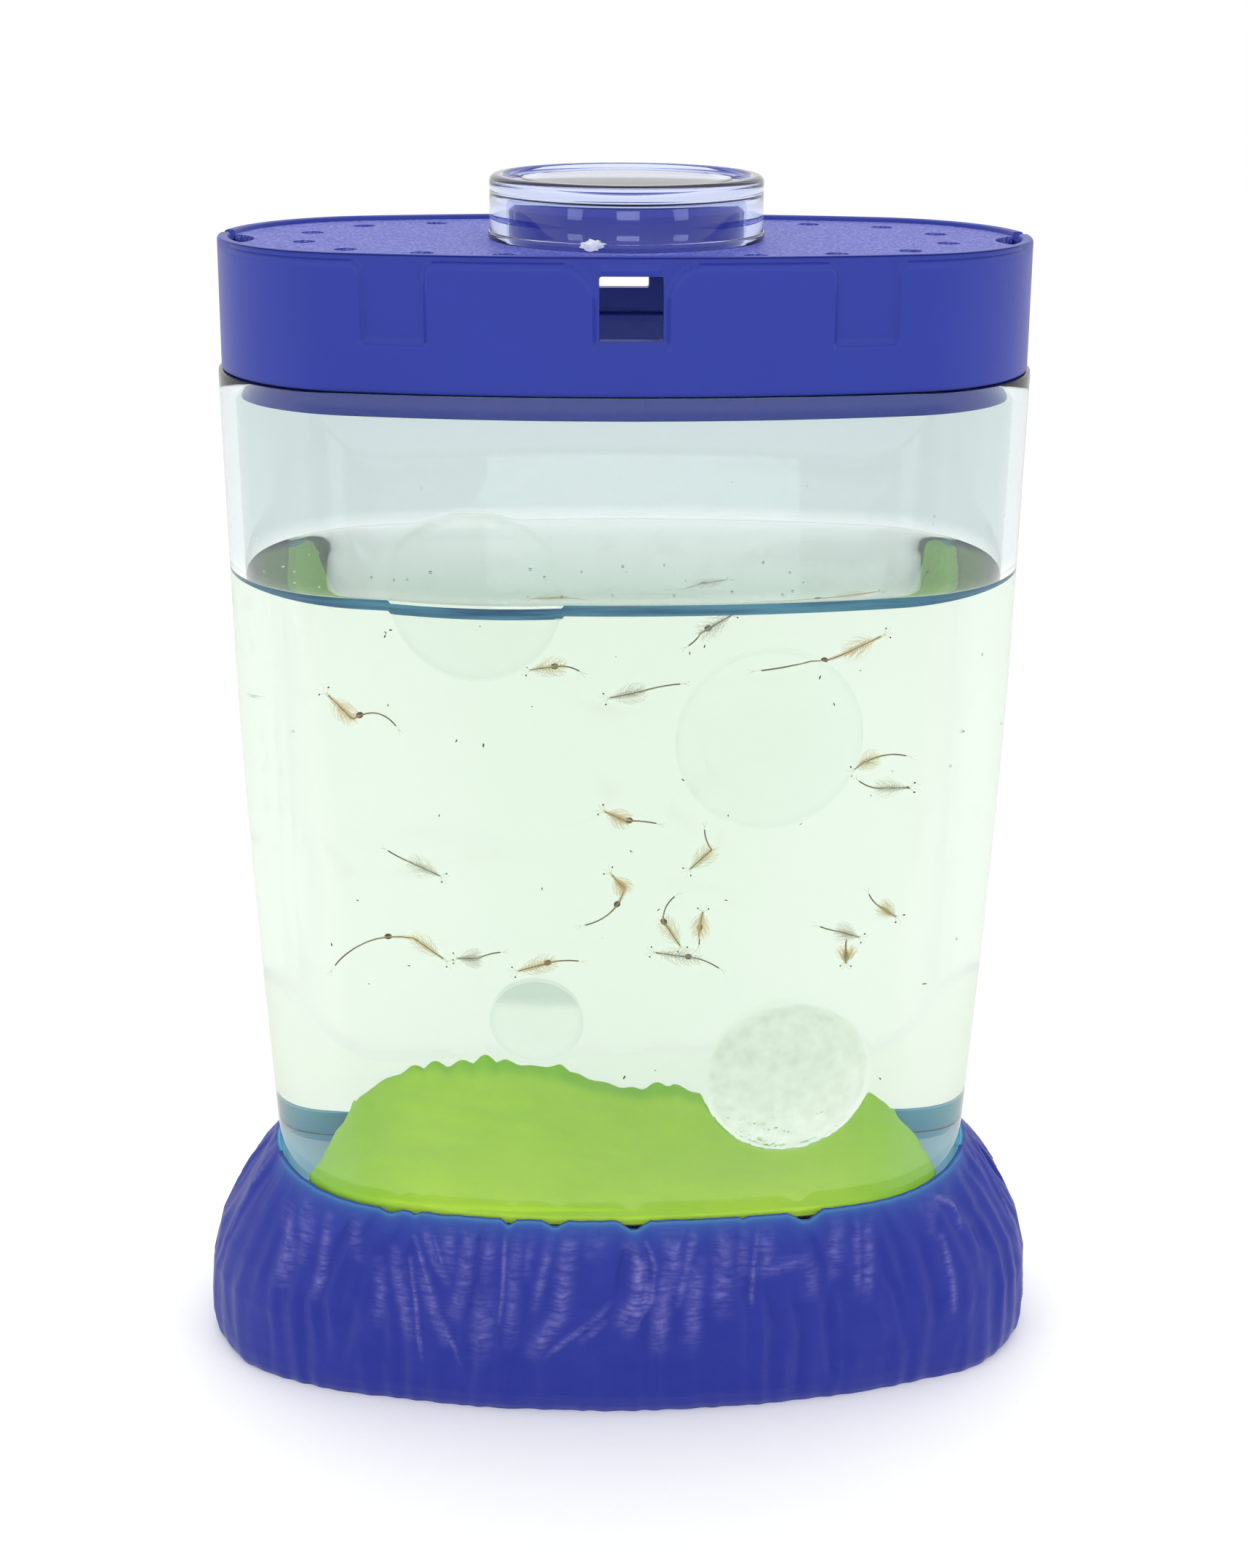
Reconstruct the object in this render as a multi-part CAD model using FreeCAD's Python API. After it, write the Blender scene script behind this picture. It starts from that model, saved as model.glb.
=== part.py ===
import FreeCAD, Part
import math
import os

# Brine shrimp tank: a clear oval tub on a hollow rock-textured foot, with a vented lid and a magnifier cap.
# Millimetres. The origin is under the middle of the foot, X across the two rounded ends, -Y the front, +Z up.

os.makedirs("parts", exist_ok=True)

# Fits between pieces, and how far a cutter runs past the face that it cuts
seat_gap = 0.1
side_gap = 0.3
content_gap = 0.05
over = 1.0

# Tub
tank_bottom_z = 27.0
tank_height = 116.5
tank_half_width = 52.3
tank_half_depth = 25.2
tank_end_radius = 22.0
tank_wall = 2.0
tank_floor = 2.0
tank_edge_round = 1.6
# Below this height over its underside the tub's wall draws in along a curve
taper_height = 78.0
foot_taper = 2.7
taper_power = 1.5
# Each magnifier bubble, hollow inside: place across, height as a share of the tub's, radius on the wall
lenses = [(-19.0, 0.788, 10.7), (17.9, 0.627, 12.0), (-11.9, 0.286, 6.2), (21.9, 0.206, 11.4)]
lens_curve_radius = 27.0

# Lid ring
skirt_height = 16.3
skirt_inset_low = 0.5
skirt_inset_high = 0.8
skirt_wall = 2.2
lip_wall = 1.4
ledge_thickness = 1.6
plug_gap = 0.5
plug_wall = 1.5
plug_drop = 3.1
plug_rise = 3.2
pocket_depth = 0.7
pocket_width = 7.6
pocket_centre = 28.2
pocket_height = 10.4
pocket_corner = 0.6
window_width = 7.6
window_height = 7.5
window_sill = 6.5
window_frame = 0.5
funnel_half_width = 8.4
funnel_neck = 4.7
funnel_shoulder = 0.3
funnel_depth = 2.3
rim_notch_width = 2.4
rim_notch_depth = 1.1
rim_notch_back = 0.6

# Lid plate
plate_thickness = 1.5
plate_sink = 0.55
plate_gap = 0.1
vent_radius = 1.45
vent_inset_end = 11.3
vent_inset_side = 6.4
vent_places = 20
vents_per_quarter = 4
bite_radius = 6.0
bite_depth = 3.3
bite_forward = 2.5
collar_radius = 14.8
collar_wall = 1.5
collar_height = 4.9
collar_chamfer = 0.8

# Magnifier cap
cap_height = 7.8
cap_wall = 2.2
cap_wall_gap = 0.3
cap_roof = 1.7
cap_edge_round = 0.9
cap_flange = 0.2
cap_flange_height = 1.0
cap_rim_width = 1.9
cap_recess = 0.6
lens_step_inset = 2.2
lens_step = 0.2
cap_lens_inset = 1.4
cap_lens_rise = 0.35

# Foot
deck_thickness = 2.0
skin_wall = 1.8
rim_grip = 4.6
socket_rim_wall = 0.9
# Each level of the skin: share of the deck's height, flare past the tub at the ends, flare at the long sides
foot_levels = [(0.0, 8.9, 2.8), (0.13, 11.3, 4.4), (0.3, 11.9, 5.0), (0.69, 9.5, 4.3), (0.96, 6.2, 3.1)]
fold_depth = 0.8
fold_width = 1.3
# Each fold: place across at the rim, place across at the ground
folds = [(-45.0, -52.0), (-37.5, -41.0), (-31.0, -35.5), (-22.5, -26.0), (-15.3, -15.5), (-9.5, -6.5),
         (0.3, 1.0), (7.0, 10.5), (15.0, 18.0), (23.5, 25.0), (31.5, 36.0), (39.0, 44.5), (46.0, 53.0)]
# Each notch in the rim: place across, half width, depth
rim_notches = [(-31.0, 1.6, 1.0), (-15.3, 1.8, 1.2), (-9.5, 1.4, 0.9), (0.3, 2.4, 1.7), (23.5, 1.6, 1.0)]

# Green ground inside the tub. It leaves the floor bare past these places across, at the front and at the back
seabed_thickness = 1.8
seabed_reach_front = 46.4
seabed_reach_back = 37.5
seabed_turn_back = -8.0
# Each hill: place as shares of the tub's half width and half depth, then half width, half depth and height
hills = [(-0.33, 0.75, 21.0, 13.0, 8.6), (0.11, 0.79, 13.0, 10.0, 4.4), (0.59, 0.6, 13.0, 10.0, 3.4),
         (-0.57, -0.36, 14.0, 9.0, 3.0), (0.27, -0.48, 17.0, 8.0, 2.8)]

# Water and brine shrimp
air_space = 26.3
body_radius = 0.75
head_radius = 0.5
waist_radius = 0.36
tail_radius = 0.14
eye_radius = 0.27
eye_spread = 0.8
sac_radius = 0.62
# Each shrimp: its head's place as shares of the half width, the half depth and the water's depth, then from
# the head to the waist and from the waist to the tail tip as (across, up), the tail's bow, and if it has eggs
shrimps = [
    ((0.26, -0.16, 0.947), (-4.0, -2.5), (-2.0, -2.0), 0.2, True),
    ((0.63, -0.32, 0.924), (-5.0, -2.5), (-12.0, -3.0), 0.5, True),
    ((-0.24, -0.24, 0.867), (4.5, 0.5), (2.5, -1.0), 0.2, True),
    ((-0.05, -0.4, 0.833), (4.5, 1.0), (5.5, 1.0), 0.2, False),
    ((-0.73, -0.48, 0.845), (3.0, -3.5), (6.0, -1.5), 1.6, True),
    ((0.555, -0.24, 0.709), (3.5, 1.5), (4.5, 0.0), 0.4, False),
    ((0.715, 0.08, 0.652), (-4.0, 0.0), (-3.0, 1.5), 0.3, False),
    ((-0.055, -0.4, 0.658), (3.0, -1.5), (4.5, -0.5), 0.2, True),
    ((0.16, -0.08, 0.533), (3.0, 3.0), (-1.0, 3.5), 0.3, False),
    ((-0.46, -0.48, 0.555), (-4.0, 2.0), (-3.5, 2.0), 0.1, False),
    ((-0.04, -0.24, 0.544), (2.0, -2.5), (-6.0, -5.5), 1.3, True),
    ((0.145, -0.4, 0.431), (-2.5, 4.0), (2.0, 4.0), 0.6, True),
    ((0.075, 0.08, 0.38), (6.0, -1.0), (3.5, -2.0), 0.2, True),
    ((0.2, -0.08, 0.465), (-0.5, -3.5), (0.0, -2.0), 0.1, True),
    ((0.7, -0.16, 0.453), (-2.0, 1.5), (-2.0, 2.5), 0.3, False),
    ((0.6, -0.4, 0.442), (-3.0, 1.0), (-3.0, 1.0), 0.1, False),
    ((0.575, -0.08, 0.368), (0.0, 2.0), (0.0, 2.0), 0.1, False),
    ((-0.45, -0.48, 0.414), (-4.5, 3.5), (-11.0, -5.5), -2.2, True),
    ((-0.43, -0.16, 0.391), (3.0, 0.0), (3.5, 1.0), 0.2, False),
    ((-0.275, -0.4, 0.391), (5.0, 1.5), (4.0, 0.0), 0.2, True),
]

# Heights that follow from the sizes above
rim_z = tank_bottom_z + tank_height
floor_z = tank_bottom_z + tank_floor
water_top_z = rim_z - air_space
deck_top_z = tank_bottom_z - seat_gap
foot_rim_z = tank_bottom_z + rim_grip
skirt_z = rim_z + seat_gap
ring_top_z = skirt_z + skirt_height
plate_top_z = ring_top_z - plate_sink
plate_z = plate_top_z - plate_thickness
cap_radius = collar_radius + cap_wall_gap + cap_wall
reach = 2 * (tank_half_width + tank_half_depth)
up = FreeCAD.Vector(0, 0, 1)
to_back = FreeCAD.Vector(0, 1, 0)


def side_arc(half_width, half_depth, end_radius):
    """Of an oval of four tangent arcs: the radius of its long sides and the place of its end centres."""
    middle = half_width - end_radius
    radius = (middle ** 2 + half_depth ** 2 - end_radius ** 2) / (2 * (half_depth - end_radius))
    return radius, middle


def oval(half_width, half_depth, end_radius, z):
    """A closed oval of four tangent arcs, level at height z."""
    side_radius, middle = side_arc(half_width, half_depth, end_radius)
    tangent_x = middle + end_radius * middle / (side_radius - end_radius)
    tangent_y = end_radius * (side_radius - half_depth) / (side_radius - end_radius)
    corners = [FreeCAD.Vector(x, y, z) for x, y in ((tangent_x, -tangent_y), (tangent_x, tangent_y),
                                                    (-tangent_x, tangent_y), (-tangent_x, -tangent_y))]
    crowns = [FreeCAD.Vector(x, y, z) for x, y in ((half_width, 0), (0, half_depth),
                                                   (-half_width, 0), (0, -half_depth))]
    return Part.Wire([Part.Arc(corners[i], crowns[i], corners[(i + 1) % 4]).toShape() for i in range(4)])


def taper_at(z):
    """How far the tub's wall has drawn in at height z."""
    share = 1 - (z - tank_bottom_z) / taper_height
    return foot_taper * min(1.0, max(0.0, share)) ** taper_power


def rim_oval(inset, z):
    """The outline of the tub's rim, drawn in by inset and moved to height z."""
    return oval(tank_half_width - inset, tank_half_depth - inset, tank_end_radius - inset, z)


def tank_oval(inset, z):
    """The tub's outline at height z, drawn in by inset."""
    return rim_oval(inset + taper_at(z), z)


def tank_form(inset, low_z, high_z):
    """The tub's tapered form between two heights, drawn in by inset."""
    steps = [tank_bottom_z + taper_height * share for share in (0.25, 0.5, 0.75, 1.0)]
    levels = [low_z] + [z for z in steps if low_z + over < z < high_z - over] + [high_z]
    return Part.makeLoft([tank_oval(inset, z) for z in levels], True, len(levels) == 2)


def upright(inset, low_z, high_z):
    """A straight-walled prism on the rim's outline."""
    return Part.Face(rim_oval(inset, low_z)).extrude(up * (high_z - low_z))


def slab(low_z, high_z):
    """A block wider than the whole part, between two heights."""
    return Part.makeBox(2 * reach, 2 * reach, high_z - low_z, FreeCAD.Vector(-reach, -reach, low_z))


def through(outline):
    """A prism with an upright outline of (across, up) points that runs from front to back."""
    points = [FreeCAD.Vector(x, -reach / 2, z) for x, z in outline]
    return Part.Face(Part.makePolygon(points + points[:1])).extrude(to_back * reach)


def panel(half_width, low_z, high_z, corner):
    """An upright rounded rectangle that runs right through the lid from front to back."""
    block = through([(-half_width, low_z), (half_width, low_z), (half_width, high_z), (-half_width, high_z)])
    edges = [edge for edge in block.Edges if edge.BoundBox.YLength > reach / 2]
    return block.makeFillet(corner, edges)


def bubble(x, share, radius, inset):
    """One magnifier bubble: the cap of a ball that stands out of the front wall, drawn in by inset."""
    z = tank_bottom_z + share * tank_height
    half_depth = tank_half_depth - taper_at(z)
    side_radius, middle = side_arc(tank_half_width - taper_at(z), half_depth, tank_end_radius - taper_at(z))
    face = half_depth - side_radius + math.sqrt(side_radius ** 2 - x ** 2)
    rise = lens_curve_radius - math.sqrt(lens_curve_radius ** 2 - radius ** 2)
    ball = Part.makeSphere(lens_curve_radius - inset, FreeCAD.Vector(x, lens_curve_radius - rise - face, z))
    start = FreeCAD.Vector(x, inset + radius - face, z)
    return ball.common(Part.makeCylinder(radius + over - inset, rise + radius, start, to_back * -1))


def make_tank():
    outer = tank_form(0, tank_bottom_z, rim_z)
    foot_edges = [edge for edge in outer.Edges if edge.BoundBox.ZMax < tank_bottom_z + side_gap]
    outer = outer.makeFillet(tank_edge_round, foot_edges)
    hollow = tank_form(tank_wall, floor_z, rim_z + over)
    for place in lenses:
        outer = outer.fuse(bubble(*place, 0))
        hollow = hollow.fuse(bubble(*place, tank_wall))
    return outer.cut(hollow)


def skirt_form(inset):
    low = rim_oval(skirt_inset_low + inset, skirt_z)
    high = rim_oval(skirt_inset_high + inset, ring_top_z)
    return Part.makeLoft([low, high], True, True)


def funnel():
    """The middle pocket's mouth: rounded shoulders that close in on the window's width."""
    shoulder_z = ring_top_z - funnel_shoulder
    neck_z = ring_top_z - funnel_depth
    turn_x = funnel_neck + (funnel_half_width - funnel_neck) * math.sqrt(0.5)
    turn_z = shoulder_z - (shoulder_z - neck_z) * math.sqrt(0.5)
    right = [FreeCAD.Vector(x, -reach / 2, z) for x, z in (
        (funnel_neck, neck_z), (turn_x, turn_z), (funnel_half_width, shoulder_z),
        (funnel_half_width, ring_top_z + over))]
    left = [FreeCAD.Vector(-point.x, point.y, point.z) for point in right]
    edges = [Part.Arc(right[0], right[1], right[2]).toShape(), Part.makeLine(right[2], right[3]),
             Part.makeLine(right[3], left[3]), Part.makeLine(left[3], left[2]),
             Part.Arc(left[2], left[1], left[0]).toShape(), Part.makeLine(left[0], right[0])]
    return Part.Face(Part.Wire(edges)).extrude(to_back * reach)


def make_lid_ring():
    seat_z = plate_z - seat_gap
    skirt = skirt_form(0).cut(upright(skirt_inset_high + lip_wall, seat_z, ring_top_z + over))
    skirt = skirt.cut(upright(skirt_inset_high + skirt_wall, skirt_z + ledge_thickness, seat_z + over))
    plug_inset = tank_wall + plug_gap
    plug_z = rim_z - plug_drop
    plug_top_z = rim_z + plug_rise
    ring = skirt.fuse(upright(plug_inset, plug_z, plug_top_z))
    ring = ring.cut(upright(plug_inset + plug_wall, plug_z - over, plug_top_z + over))
    # Shallow pockets let into both long faces, open at the top
    band = skirt_form(-over).cut(skirt_form(pocket_depth))
    sill_z = skirt_z + window_sill
    top_z = ring_top_z + 2 * over
    side_pocket = panel(pocket_width / 2, ring_top_z - pocket_height, top_z, pocket_corner)
    pockets = [panel(window_width / 2 + window_frame, sill_z - window_frame, top_z, pocket_corner), funnel()]
    pockets += [side_pocket.translated(FreeCAD.Vector(side * pocket_centre, 0, 0)) for side in (-1, 1)]
    for pocket in pockets:
        ring = ring.cut(pocket.common(band))
    ring = ring.cut(panel(window_width / 2, sill_z, sill_z + window_height, pocket_corner / 2))
    # A small break in the rim at each end, where its two halves meet
    for side in (-1, 1):
        notch = Part.makeBox(2 * skirt_wall, rim_notch_width, rim_notch_depth + over)
        notch.translate(FreeCAD.Vector(side * tank_half_width - skirt_wall, rim_notch_back,
                                       ring_top_z - rim_notch_depth))
        ring = ring.cut(notch)
    return ring


def vent_points():
    """Equal places round an oval, of which the ones beside the collar stay closed."""
    half_depth = tank_half_depth - vent_inset_side
    end_radius = tank_end_radius - vent_inset_side
    sizes = (tank_half_width - vent_inset_end, half_depth, end_radius)
    side_radius, middle = side_arc(*sizes)
    pitch = oval(*sizes, plate_z).Length / vent_places
    turn = math.atan2(side_radius - half_depth, middle)
    places = []
    for k in range(vents_per_quarter):
        along = (k + 0.5) * pitch
        if along < end_radius * turn:
            x = middle + end_radius * math.cos(along / end_radius)
            y = end_radius * math.sin(along / end_radius)
        else:
            angle = turn + (along - end_radius * turn) / side_radius
            x = side_radius * math.cos(angle)
            y = half_depth - side_radius + side_radius * math.sin(angle)
        places += [(x, y), (-x, y), (x, -y), (-x, -y)]
    return places


def make_lid_plate():
    inset = skirt_inset_high + lip_wall + plate_gap
    collar_top_z = plate_top_z + collar_height
    collar = Part.makeCylinder(collar_radius, collar_top_z - plate_z, FreeCAD.Vector(0, 0, plate_z))
    top = [edge for edge in collar.Edges if edge.BoundBox.ZMin > plate_top_z]
    plate = upright(inset, plate_z, plate_top_z).fuse(collar.makeChamfer(collar_chamfer, top))

    def drill(radius, x, y, high_z):
        return Part.makeCylinder(radius, high_z - plate_z + 2 * over, FreeCAD.Vector(x, y, plate_z - over))

    plate = plate.cut(drill(collar_radius - collar_wall, 0, 0, collar_top_z))
    plate = plate.cut([drill(vent_radius, x, y, plate_top_z) for x, y in vent_points()])
    bite_x = tank_half_width - inset - bite_depth + bite_radius
    return plate.cut([drill(bite_radius, side * bite_x, -bite_forward, plate_top_z) for side in (-1, 1)])


def make_magnifier_cap():
    """Turned about the lid's axis: wall, roof, raised rim, step and shallow lens."""
    low = plate_top_z + seat_gap
    top = low + cap_height
    inner = collar_radius + cap_wall_gap
    floor = top - cap_recess
    roof = floor - cap_roof
    flange = cap_radius + cap_flange
    rim_inner = cap_radius - cap_rim_width
    step_radius = rim_inner - lens_step_inset
    lens_radius = step_radius - cap_lens_inset
    corner = cap_edge_round * (1 - math.sqrt(0.5))
    crown = floor + lens_step + cap_lens_rise
    profile = [(0, roof), (inner, roof), (inner, low), (flange, low), (flange, low + cap_flange_height),
               (cap_radius, low + cap_flange_height), (cap_radius, top - cap_edge_round)]
    inside = [(cap_radius - cap_edge_round, top), (rim_inner, top), (rim_inner, floor), (step_radius, floor),
              (step_radius, floor + lens_step), (lens_radius, floor + lens_step)]
    points = [FreeCAD.Vector(r, 0, z) for r, z in profile]
    inner_points = [FreeCAD.Vector(r, 0, z) for r, z in inside]
    middle = FreeCAD.Vector(0, 0, crown)
    edges = [Part.makeLine(a, b) for a, b in zip(points, points[1:])]
    rounding = FreeCAD.Vector(cap_radius - corner, 0, top - corner)
    edges.append(Part.Arc(points[-1], rounding, inner_points[0]).toShape())
    edges += [Part.makeLine(a, b) for a, b in zip(inner_points, inner_points[1:])]
    ball_radius = (lens_radius ** 2 + cap_lens_rise ** 2) / (2 * cap_lens_rise)
    turn = math.asin(lens_radius / ball_radius) / 2
    half_way = FreeCAD.Vector(ball_radius * math.sin(turn), 0, crown - ball_radius * (1 - math.cos(turn)))
    edges.append(Part.Arc(inner_points[-1], half_way, middle).toShape())
    edges.append(Part.makeLine(middle, points[0]))
    return Part.Face(Part.Wire(edges)).revolve(FreeCAD.Vector(0, 0, 0), up, 360)


def foot_form(inset):
    """The foot's flared skin, drawn in by inset. Its top level hugs the tub."""
    sections = []
    for share, end_flare, side_flare in foot_levels:
        half_width = tank_half_width - foot_taper + end_flare - inset
        half_depth = tank_half_depth - foot_taper + side_flare - inset
        end_radius = tank_end_radius - foot_taper + side_flare - inset
        sections.append(oval(half_width, half_depth, end_radius, share * tank_bottom_z))
    sections.append(tank_oval(inset - side_gap - socket_rim_wall, foot_rim_z))
    return Part.makeLoft(sections, True, False)


def make_base():
    skin = foot_form(0)
    base = skin.cut(foot_form(skin_wall).common(slab(-over, deck_top_z - deck_thickness)))
    socket = [tank_oval(-side_gap, deck_top_z), tank_oval(-side_gap, foot_rim_z + over)]
    base = base.cut(Part.makeLoft(socket, True, True))
    # Upright folds let into both long faces, and notches in the rim
    band = skin.cut(foot_form(fold_depth))
    half = fold_width / 2
    for high_x, low_x in folds:
        groove = through([(high_x - half, foot_rim_z + over), (high_x + half, foot_rim_z + over),
                          (low_x + half, -over), (low_x - half, -over)])
        base = base.cut(groove.common(band))
    for x, half, depth in rim_notches:
        notch = through([(x - half, foot_rim_z), (x + half, foot_rim_z), (x, foot_rim_z - depth)])
        base = base.cut(notch)
    return base


def seabed_plan(swell, low_z, high_z):
    """A prism on the outline that the ground keeps within, drawn out by swell."""
    front, back = seabed_reach_front + swell, seabed_reach_back + swell
    outline = [(-front, -reach), (front, -reach), (front, seabed_turn_back), (back, tank_half_depth),
               (-back, tank_half_depth), (-front, seabed_turn_back)]
    points = [FreeCAD.Vector(x, y, low_z) for x, y in outline]
    return Part.Face(Part.makePolygon(points + points[:1])).extrude(up * (high_z - low_z))


def make_seabed():
    ground = slab(floor_z, floor_z + seabed_thickness)
    for across, back, half_width, half_depth, height in hills:
        shape = FreeCAD.Matrix()
        shape.scale(half_width, half_depth, height)
        hill = Part.makeSphere(1.0).transformGeometry(shape)
        hill.translate(FreeCAD.Vector(across * tank_half_width, back * tank_half_depth, floor_z))
        ground = ground.fuse(hill)
    tallest = max(height for *_, height in hills)
    ground = ground.common(seabed_plan(0, floor_z - over, floor_z + tallest + over))
    return ground.common(tank_form(tank_wall + side_gap, floor_z + content_gap, floor_z + tallest + over))


def make_shrimp(head, to_waist, to_tail, bow, carries_eggs, swell):
    """One shrimp in an upright plane: a lofted body with a bowed tail, two eyes and an egg sac."""
    across, back, height = head
    start = FreeCAD.Vector(across * tank_half_width, back * tank_half_depth,
                           floor_z + height * (water_top_z - floor_z))
    forward = FreeCAD.Vector(to_waist[0], 0, to_waist[1])
    run = FreeCAD.Vector(to_tail[0], 0, to_tail[1])
    waist = start + forward
    bend = FreeCAD.Vector(-run.z, 0, run.x).normalize()
    # The body is thickest a third of the way from the head to the waist
    spine = [(start, head_radius), (start + forward / 3, body_radius),
             (start + forward * 2 / 3, (body_radius + head_radius) / 2), (waist, waist_radius)]
    for share in (1 / 3, 2 / 3, 1.0):
        spot = waist + run * share + bend * (4 * bow * share * (1 - share))
        spine.append((spot, waist_radius + (tail_radius - waist_radius) * share))
    circles = []
    for i, (spot, radius) in enumerate(spine):
        before = spine[max(i - 1, 0)][0]
        after = spine[min(i + 1, len(spine) - 1)][0]
        circle = Part.Circle(spot, (after - before).normalize(), radius + swell)
        circle.XAxis = to_back
        circles.append(Part.Wire(circle.toShape()))
    body = Part.makeLoft(circles, True, True)
    heading = FreeCAD.Vector(forward).normalize()
    sideways = FreeCAD.Vector(-heading.z, 0, heading.x)
    brow = start + heading * head_radius
    stalks = Part.makeCylinder(eye_radius / 2 + swell, 2 * eye_spread, brow - sideways * eye_spread, sideways)
    extras = [stalks] + [Part.makeSphere(eye_radius + swell, brow + sideways * (side * eye_spread), sideways)
                         for side in (-1, 1)]
    if carries_eggs:
        extras.append(Part.makeSphere(sac_radius + swell, waist + to_back * waist_radius, to_back))
    return body.fuse(extras)


def make_water(seabed):
    water = tank_form(tank_wall + content_gap, floor_z + content_gap, water_top_z)
    for place in lenses:
        water = water.fuse(bubble(*place, tank_wall + content_gap))
    water = water.cut(slab(water_top_z, rim_z))
    water = water.cut(seabed_plan(content_gap, floor_z - over, floor_z + seabed_thickness + content_gap))
    water = water.cut(seabed)
    return water.cut([make_shrimp(*sizes, content_gap) for sizes in shrimps])


seabed = make_seabed()
nodes = {"tank": make_tank(), "lid_ring": make_lid_ring(), "lid_plate": make_lid_plate(),
         "magnifier_cap": make_magnifier_cap(), "base": make_base(), "seabed": seabed,
         "water": make_water(seabed)}
for number, sizes in enumerate(shrimps, 1):
    nodes["shrimp_%02d" % number] = make_shrimp(*sizes, 0.0)

for name, shape in nodes.items():
    print(name, len(shape.Solids), "solid, valid", shape.isValid(), "volume %.1f mm3" % shape.Volume)
    shape.exportStep("parts/%s.step" % name)
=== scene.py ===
import math

import bmesh
import bpy
import numpy as np
from mathutils import Matrix, Vector, noise


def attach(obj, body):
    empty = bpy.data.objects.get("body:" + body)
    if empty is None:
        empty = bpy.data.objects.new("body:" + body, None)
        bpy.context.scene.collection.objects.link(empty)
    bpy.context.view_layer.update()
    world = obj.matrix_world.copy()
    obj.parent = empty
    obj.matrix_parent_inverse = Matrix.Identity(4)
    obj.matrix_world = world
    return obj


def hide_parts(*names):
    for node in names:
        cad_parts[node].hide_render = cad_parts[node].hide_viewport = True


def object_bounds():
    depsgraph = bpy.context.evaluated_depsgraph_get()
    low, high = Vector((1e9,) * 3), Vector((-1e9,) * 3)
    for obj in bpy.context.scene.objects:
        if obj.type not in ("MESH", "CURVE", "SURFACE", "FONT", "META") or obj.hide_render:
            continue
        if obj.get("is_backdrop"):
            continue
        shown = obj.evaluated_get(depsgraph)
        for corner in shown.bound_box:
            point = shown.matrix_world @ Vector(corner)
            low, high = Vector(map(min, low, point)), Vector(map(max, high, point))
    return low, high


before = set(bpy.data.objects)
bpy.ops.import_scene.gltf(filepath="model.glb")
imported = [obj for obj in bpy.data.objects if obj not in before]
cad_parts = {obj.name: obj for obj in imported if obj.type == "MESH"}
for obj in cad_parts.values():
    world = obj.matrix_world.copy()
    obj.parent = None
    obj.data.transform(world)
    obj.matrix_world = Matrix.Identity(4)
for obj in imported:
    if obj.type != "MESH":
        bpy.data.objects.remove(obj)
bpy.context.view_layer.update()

# Foot: a hollow skirt of blue polypropylene that the tub stands in, injection moulded in one piece.
# Its mould is textured as old bark: soft upright pleats, folds with a painted sheen and thin ridges that lean
# and join, and a notched rim. The skin is swept round the tub's outline and lifted along the listed folds.
MM = 0.001
TUB_HALF_WIDTH = 52.3
TUB_HALF_DEPTH = 25.2
TUB_END_RADIUS = 22.0
TUB_UNDERSIDE = 27.0
# The deck takes the tub's underside 0.04 mm deep, so no film of air shows between them
DECK = TUB_UNDERSIDE + 0.04
TAPER_HEIGHT = 78.0
FOOT_TAPER = 2.7
FOOT_COLUMNS = 1000
FOOT_ROWS = 84
FOOT_WALL = 1.8
HOLLOW_TOP = 24.9
SOCKET_LIP = 0.6
PLEAT_GAP = 3.3
PLEAT_RISE = 0.26
RIM_UNEVEN = 0.16
WANDER = 0.9
WIDEST_END = 56.0
END_RISE = 0.4
# A fold that stands out this far gets the full painted sheen
FULL_SHEEN_RISE = 0.34
RIM_FRONT = 29.8
RIM_END_RISE = 1.9
# Each level of the skin from the rim down: height, half width, half depth, radius of the ends
FOOT_LEVELS = [(31.6, 50.6, 23.9, 20.7), (29.0, 52.0, 24.7, 21.2), (26.0, 54.2, 25.4, 21.4),
               (22.0, 56.7, 26.0, 21.2), (17.5, 58.9, 26.5, 20.6), (12.0, 60.3, 26.8, 20.2),
               (6.5, 60.8, 26.7, 19.8), (3.0, 60.9, 26.4, 19.4), (1.0, 60.6, 25.9, 19.1),
               (0.0, 60.0, 25.4, 18.8)]
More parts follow.
